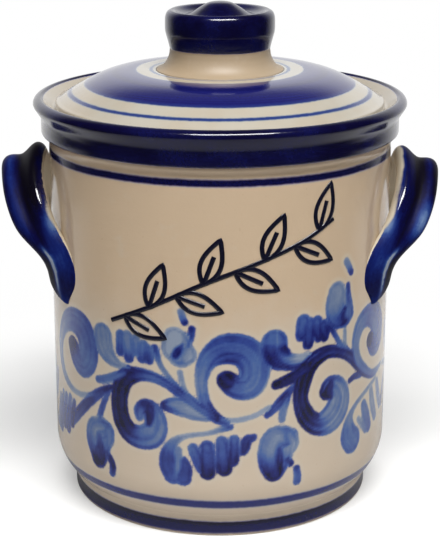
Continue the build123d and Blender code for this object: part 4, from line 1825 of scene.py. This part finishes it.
@dataclass
class Sprig:
    """A trailed line drawing of a leafy sprig, which rises across the front of the wall, in millimetres."""

    wall_radius: float = 90.0
    line_width: float = 2.5
    bead_height: float = 0.55
    bead_sides: int = 10
    stem: tuple[Point, ...] = ((-58, 115), (-34, 126), (-8, 139), (18, 149), (42, 158), (60, 167))
    leaf_length: float = 24.0
    leaf_width: float = 10.0
    leaf_angle: float = 46.0
    leaf_belly: float = 0.8
    vein_share: float = 0.62
    vein_points: int = 12
    leaves: int = 8
    first_leaf: float = 0.6
    bare_tip: float = 0.2
    step: float = 1.0
    slip: Stops = ((0.0, linear(30, 34, 62)), (1.0, linear(13, 13, 30)))
    slip_start: float = -10.0

    def on_wall(self, around: float, height: float) -> Vector:
        """Place a point of the unrolled wall, in metres.

        Args:
            around: Place round the wall from the front, in millimetres.
            height: Height in millimetres.

        Returns:
            The place.
        """
        angle = around / self.wall_radius
        reach = self.wall_radius * MM
        return Vector((reach * sin(angle), -reach * cos(angle), height * MM))

    def build(self) -> None:
        """Trail the stem and the leaves, and fuse them to the crock's wall."""
        rows = Stroke(tuple((around, height, 1.0, 0.0) for around, height in self.stem)).path(self.step)
        stem = [(float(row[0]), float(row[1])) for row in rows]
        headings = np.gradient(rows[:, :2], axis=0)
        lines = [stem]
        for number in range(self.leaves):
            share = (number + self.first_leaf) / (self.leaves + self.bare_tip)
            index = int(share * (len(rows) - 1))
            side = 1 if number % 2 else -1
            heading = atan2(headings[index, 1], headings[index, 0]) + side * radians(self.leaf_angle)
            lines += self.leaf(stem[index], heading)
        self.trail(lines)

    def leaf(self, base: Point, heading: float) -> list[list[Point]]:
        """Draw one leaf's edge and its middle vein.

        Args:
            base: Where the leaf leaves the stem.
            heading: Its direction, in radians.

        Returns:
            The two lines, on the unrolled wall.
        """
        edge = []
        count = int(self.leaf_length / self.step)
        for side in (1, -1):
            for step in range(count):
                along = step / count if side == 1 else 1 - step / count
                width = side * self.leaf_width / 2 * sin(pi * along ** self.leaf_belly)
                edge.append((along * self.leaf_length, width))
        edge.append(edge[0])
        vein_length = self.leaf_length * self.vein_share
        vein = [(float(along), 0.0) for along in np.linspace(0, vein_length, self.vein_points)]
        placed = []
        for line in (edge, vein):
            placed.append([(base[0] + x * cos(heading) - y * sin(heading),
                            base[1] + x * sin(heading) + y * cos(heading)) for x, y in line])
        return placed

    def bead(self) -> GeometryTree:
        """Build the tree that turns lines on the wall into low beads.

        Returns:
            The tree, whose tubes stand proud of the wall by a share of their own radius.
        """
        rule = GeometryTree("trailed line", (
            ("Line width", "NodeSocketFloat"),
            ("Wall radius", "NodeSocketFloat"),
            ("Height share", "NodeSocketFloat"),
            ("Finish", "NodeSocketMaterial"),
        ))
        given = rule.given.outputs
        wall = given["Wall radius"]
        curve = rule.node("GeometryNodeMeshToCurve", None, {0: given["Geometry"]})
        ring = rule.node("GeometryNodeCurvePrimitiveCircle", None, {
            "Resolution": self.bead_sides, "Radius": rule.maths("MULTIPLY", given["Line width"], 0.5),
        })
        tube = rule.node("GeometryNodeCurveToMesh", None, {
            "Curve": curve.outputs[0], "Profile Curve": ring.outputs[0], "Fill Caps": True,
        })
        spot = rule.node("GeometryNodeInputPosition").outputs[0]
        flat = rule.vector("MULTIPLY", spot, (1, 1, 0)).outputs[0]
        reach = rule.vector("LENGTH", flat).outputs["Value"]
        proud = rule.maths("MULTIPLY", rule.maths("SUBTRACT", reach, wall), given["Height share"])
        stretch = rule.maths("SUBTRACT", rule.maths("DIVIDE", rule.maths("ADD", proud, wall), reach), 1)
        offset = rule.node("ShaderNodeVectorMath", {"operation": "SCALE"}, {0: flat, "Scale": stretch})
        moved = rule.node("GeometryNodeSetPosition", None, {
            "Geometry": tube.outputs[0], "Offset": offset.outputs[0],
        })
        smooth = rule.node("GeometryNodeSetShadeSmooth", None, {"Geometry": moved.outputs[0]})
        rule.end(smooth.outputs[0])
        return rule

    def trail(self, lines: list[list[Point]]) -> None:
        """Trail slip along lines on the unrolled wall.

        Args:
            lines: The lines, each a row of points.
        """
        points = []
        edges = []
        for line in lines:
            first = len(points)
            points += [self.on_wall(*spot) for spot in line]
            edges += [(i, i + 1) for i in range(first, len(points) - 1)]
        source = wire_object("sprig_lines", points, edges)
        finish = KnobGlaze("cobalt_trailed", button_start=self.slip_start, washes=self.slip)
        values = {
            "Line width": self.line_width * MM,
            "Wall radius": self.wall_radius * MM,
            "Height share": 2 * self.bead_height / self.line_width,
            "Finish": finish.material(),
        }
        settle(self.bead().apply(source, values, "crock_sprig"), Body.CROCK, Slot.HANDLES)


def settle(piece: bpy.types.Object, body: Body, slot: Slot, *nodes: str) -> None:
    """Say what a piece moves with and which solids it stands for.

    Args:
        piece: The finished piece.
        body: The body that it moves with.
        slot: The slot of its finish. It is not used.
        nodes: CAD nodes that it replaces.
    """
    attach(piece, body.value)
    if nodes:
        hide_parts(*nodes)
    LOG.info("%s: %d faces on %s", piece.name, len(piece.data.polygons), body.value)


@dataclass(frozen=True)
class Lamp:
    """A soft box that faces the pot's middle, in metres and watts."""

    name: str
    place: Triple
    size: Point
    power: float
    mirrored: bool = True

    def hang(self, aim_height: float) -> None:
        """Hang the lamp, and say whether the glaze mirrors it.

        Args:
            aim_height: Height of the point that it faces.
        """
        data = bpy.data.lights.new(self.name, "AREA")
        data.shape = "RECTANGLE"
        data.size, data.size_y = self.size
        data.energy = self.power
        lamp = bpy.data.objects.new(self.name, data)
        lamp.location = self.place
        aim = Vector((0, 0, aim_height)) - Vector(self.place)
        lamp.rotation_euler = aim.to_track_quat("-Z", "Y").to_euler()
        lamp.visible_camera = False
        lamp.visible_glossy = self.mirrored
        bpy.context.scene.collection.objects.link(lamp)


@dataclass
class Studio:
    """Camera, pale floor, white surround and soft lights, in metres.

    A gleam is the floor's colour as the glaze mirrors it. The sky's veils read a direction's parts: to
    the right, behind the pot and up.
    """

    camera_place: Triple = (0.0, -0.8396, 0.3731)
    camera_pitch: float = 73.21
    lens: float = 108.35
    sensor: float = 36.0
    floor_radius: float = 0.7
    floor_sides: int = 96
    floor_colour: Colour = (0.62, 0.62, 0.61)
    floor_bounce: Colour = (0.85, 0.85, 0.84)
    near_gleam: Colour = (0.34, 0.34, 0.34)
    front_gleam: Colour = (0.03, 0.03, 0.03)
    back_gleam: Colour = (0.9, 0.9, 0.9)
    near_veil: Veil = Veil(0.24, 0.42)
    back_veil: Veil = Veil(-0.1, 0.2)
    floor_lift: float = 0.36
    fade_veil: Veil = Veil(0.12, 0.45)
    ground_glow: float = 0.05
    sky_veil: Veil = Veil(-0.25, 0.35, 0.13)
    right_veil: Veil = Veil(0.3, 0.95, 0.35)
    front_glint: float = 0.03
    sweep_veil: Veil = Veil(0.3, 0.85, 0.92)
    sweep_top_veil: Veil = Veil(0.35, 0.7, 0.8)
    aim_height: float = 0.12
    lamps: tuple[Lamp, ...] = (
        Lamp("soft_box", (0.17, -0.92, 1.72), (1.25, 0.4), 46.0),
        Lamp("back_fill", (0.0, 1.3, 0.2), (1.2, 0.3), 4.5, mirrored=False),
    )

    def camera(self) -> None:
        """Set up the camera at the photograph's viewing angle."""
        data = bpy.data.cameras.new("camera")
        data.lens = self.lens
        data.sensor_width = self.sensor
        camera = bpy.data.objects.new("camera", data)
        camera.location = self.camera_place
        camera.rotation_euler = (radians(self.camera_pitch), 0, 0)
        bpy.context.scene.collection.objects.link(camera)
        bpy.context.scene.camera = camera

    def floor(self) -> None:
        """Lay the floor."""
        mesh = bpy.data.meshes.new("floor")
        angles = [2 * pi * step / self.floor_sides for step in range(self.floor_sides)]
        rim = [(self.floor_radius * cos(angle), self.floor_radius * sin(angle), 0) for angle in angles]
        mesh.from_pydata(rim, [], [tuple(range(self.floor_sides))])
        mesh.materials.append(self.floor_finish())
        add_piece("floor", mesh)

    def floor_finish(self) -> bpy.types.Material:
        """Build the floor's finish, which fades to the white surround for the eye alone.

        Returns:
            The material.
        """
        material = bpy.data.materials.new("pale_floor")
        material.use_nodes = True
        tree = ShaderTree(material.node_tree)
        path = tree.node("ShaderNodeLightPath")
        seen = Value(tree, path.outputs["Is Camera Ray"])
        shiny = Value(tree, path.outputs["Is Glossy Ray"])
        coordinates = tree.node("ShaderNodeTexCoord").outputs["Object"]
        behind = tree.parts(coordinates)[1]
        reach = tree.length(coordinates)
        front = tree.mix(reach.through(self.near_veil), opaque(self.near_gleam), opaque(self.front_gleam))
        gleam = tree.mix(behind.through(self.back_veil), front, opaque(self.back_gleam))
        bounce = tree.mix(shiny, opaque(self.floor_bounce), gleam)
        tint = tree.mix(seen, bounce, opaque(self.floor_colour))
        surface = tree.node("ShaderNodeBsdfDiffuse", None, {"Color": tint})
        lift = tree.node("ShaderNodeEmission", None, {"Strength": seen * self.floor_lift})
        lifted = tree.node("ShaderNodeAddShader", None, {0: surface.outputs[0], 1: lift.outputs[0]})
        white = tree.node("ShaderNodeEmission", None, {"Strength": 1.0})
        faded = tree.node("ShaderNodeMixShader", None, {
            0: seen * reach.through(self.fade_veil), 1: lifted.outputs[0], 2: white.outputs[0],
        })
        tree.node("ShaderNodeOutputMaterial", None, {"Surface": faded.outputs[0]})
        return material

    def world(self) -> None:
        """Surround the pot: white to the eye, a soft sky for light, and a white sweep for reflections."""
        world = bpy.data.worlds.new("studio")
        world.use_nodes = True
        bpy.context.scene.world = world
        tree = ShaderTree(world.node_tree)
        right, behind, above = tree.parts(tree.node("ShaderNodeTexCoord").outputs["Generated"])
        path = tree.node("ShaderNodeLightPath")
        seen = Value(tree, path.outputs["Is Camera Ray"])
        shiny = Value(tree, path.outputs["Is Glossy Ray"])
        shiny = shiny.larger(Value(tree, path.outputs["Is Transmission Ray"]))
        shade = 1 - right.through(self.right_veil)
        glow = (above.through(self.sky_veil) + self.ground_glow) * shade
        glint = behind.through(self.sweep_veil) * (1 - above.through(self.sweep_top_veil)) + self.front_glint
        strength = seen.larger(shiny * glint).larger((1 - shiny) * (1 - seen) * glow)
        background = tree.node("ShaderNodeBackground", None, {"Color": (1, 1, 1, 1), "Strength": strength})
        tree.node("ShaderNodeOutputWorld", None, {"Surface": background.outputs[0]})

    def build(self) -> None:
        """Set the whole studio up."""
        self.camera()
        self.floor()
        self.world()
        for lamp in self.lamps:
            lamp.hang(self.aim_height)
        bpy.context.scene.view_settings.view_transform = "Standard"


def main() -> None:
    """Build the studio and the pot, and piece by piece."""
    logging.basicConfig(level=logging.INFO, format="%(name)s: %(message)s")
    Studio().build()
    wheel = Wheel()
    Crock().build(wheel)
    Lid().build(wheel)
    Knob().build(wheel)
    Handles().build()
    Sprig().build()


if __name__ == "__main__":
    main()
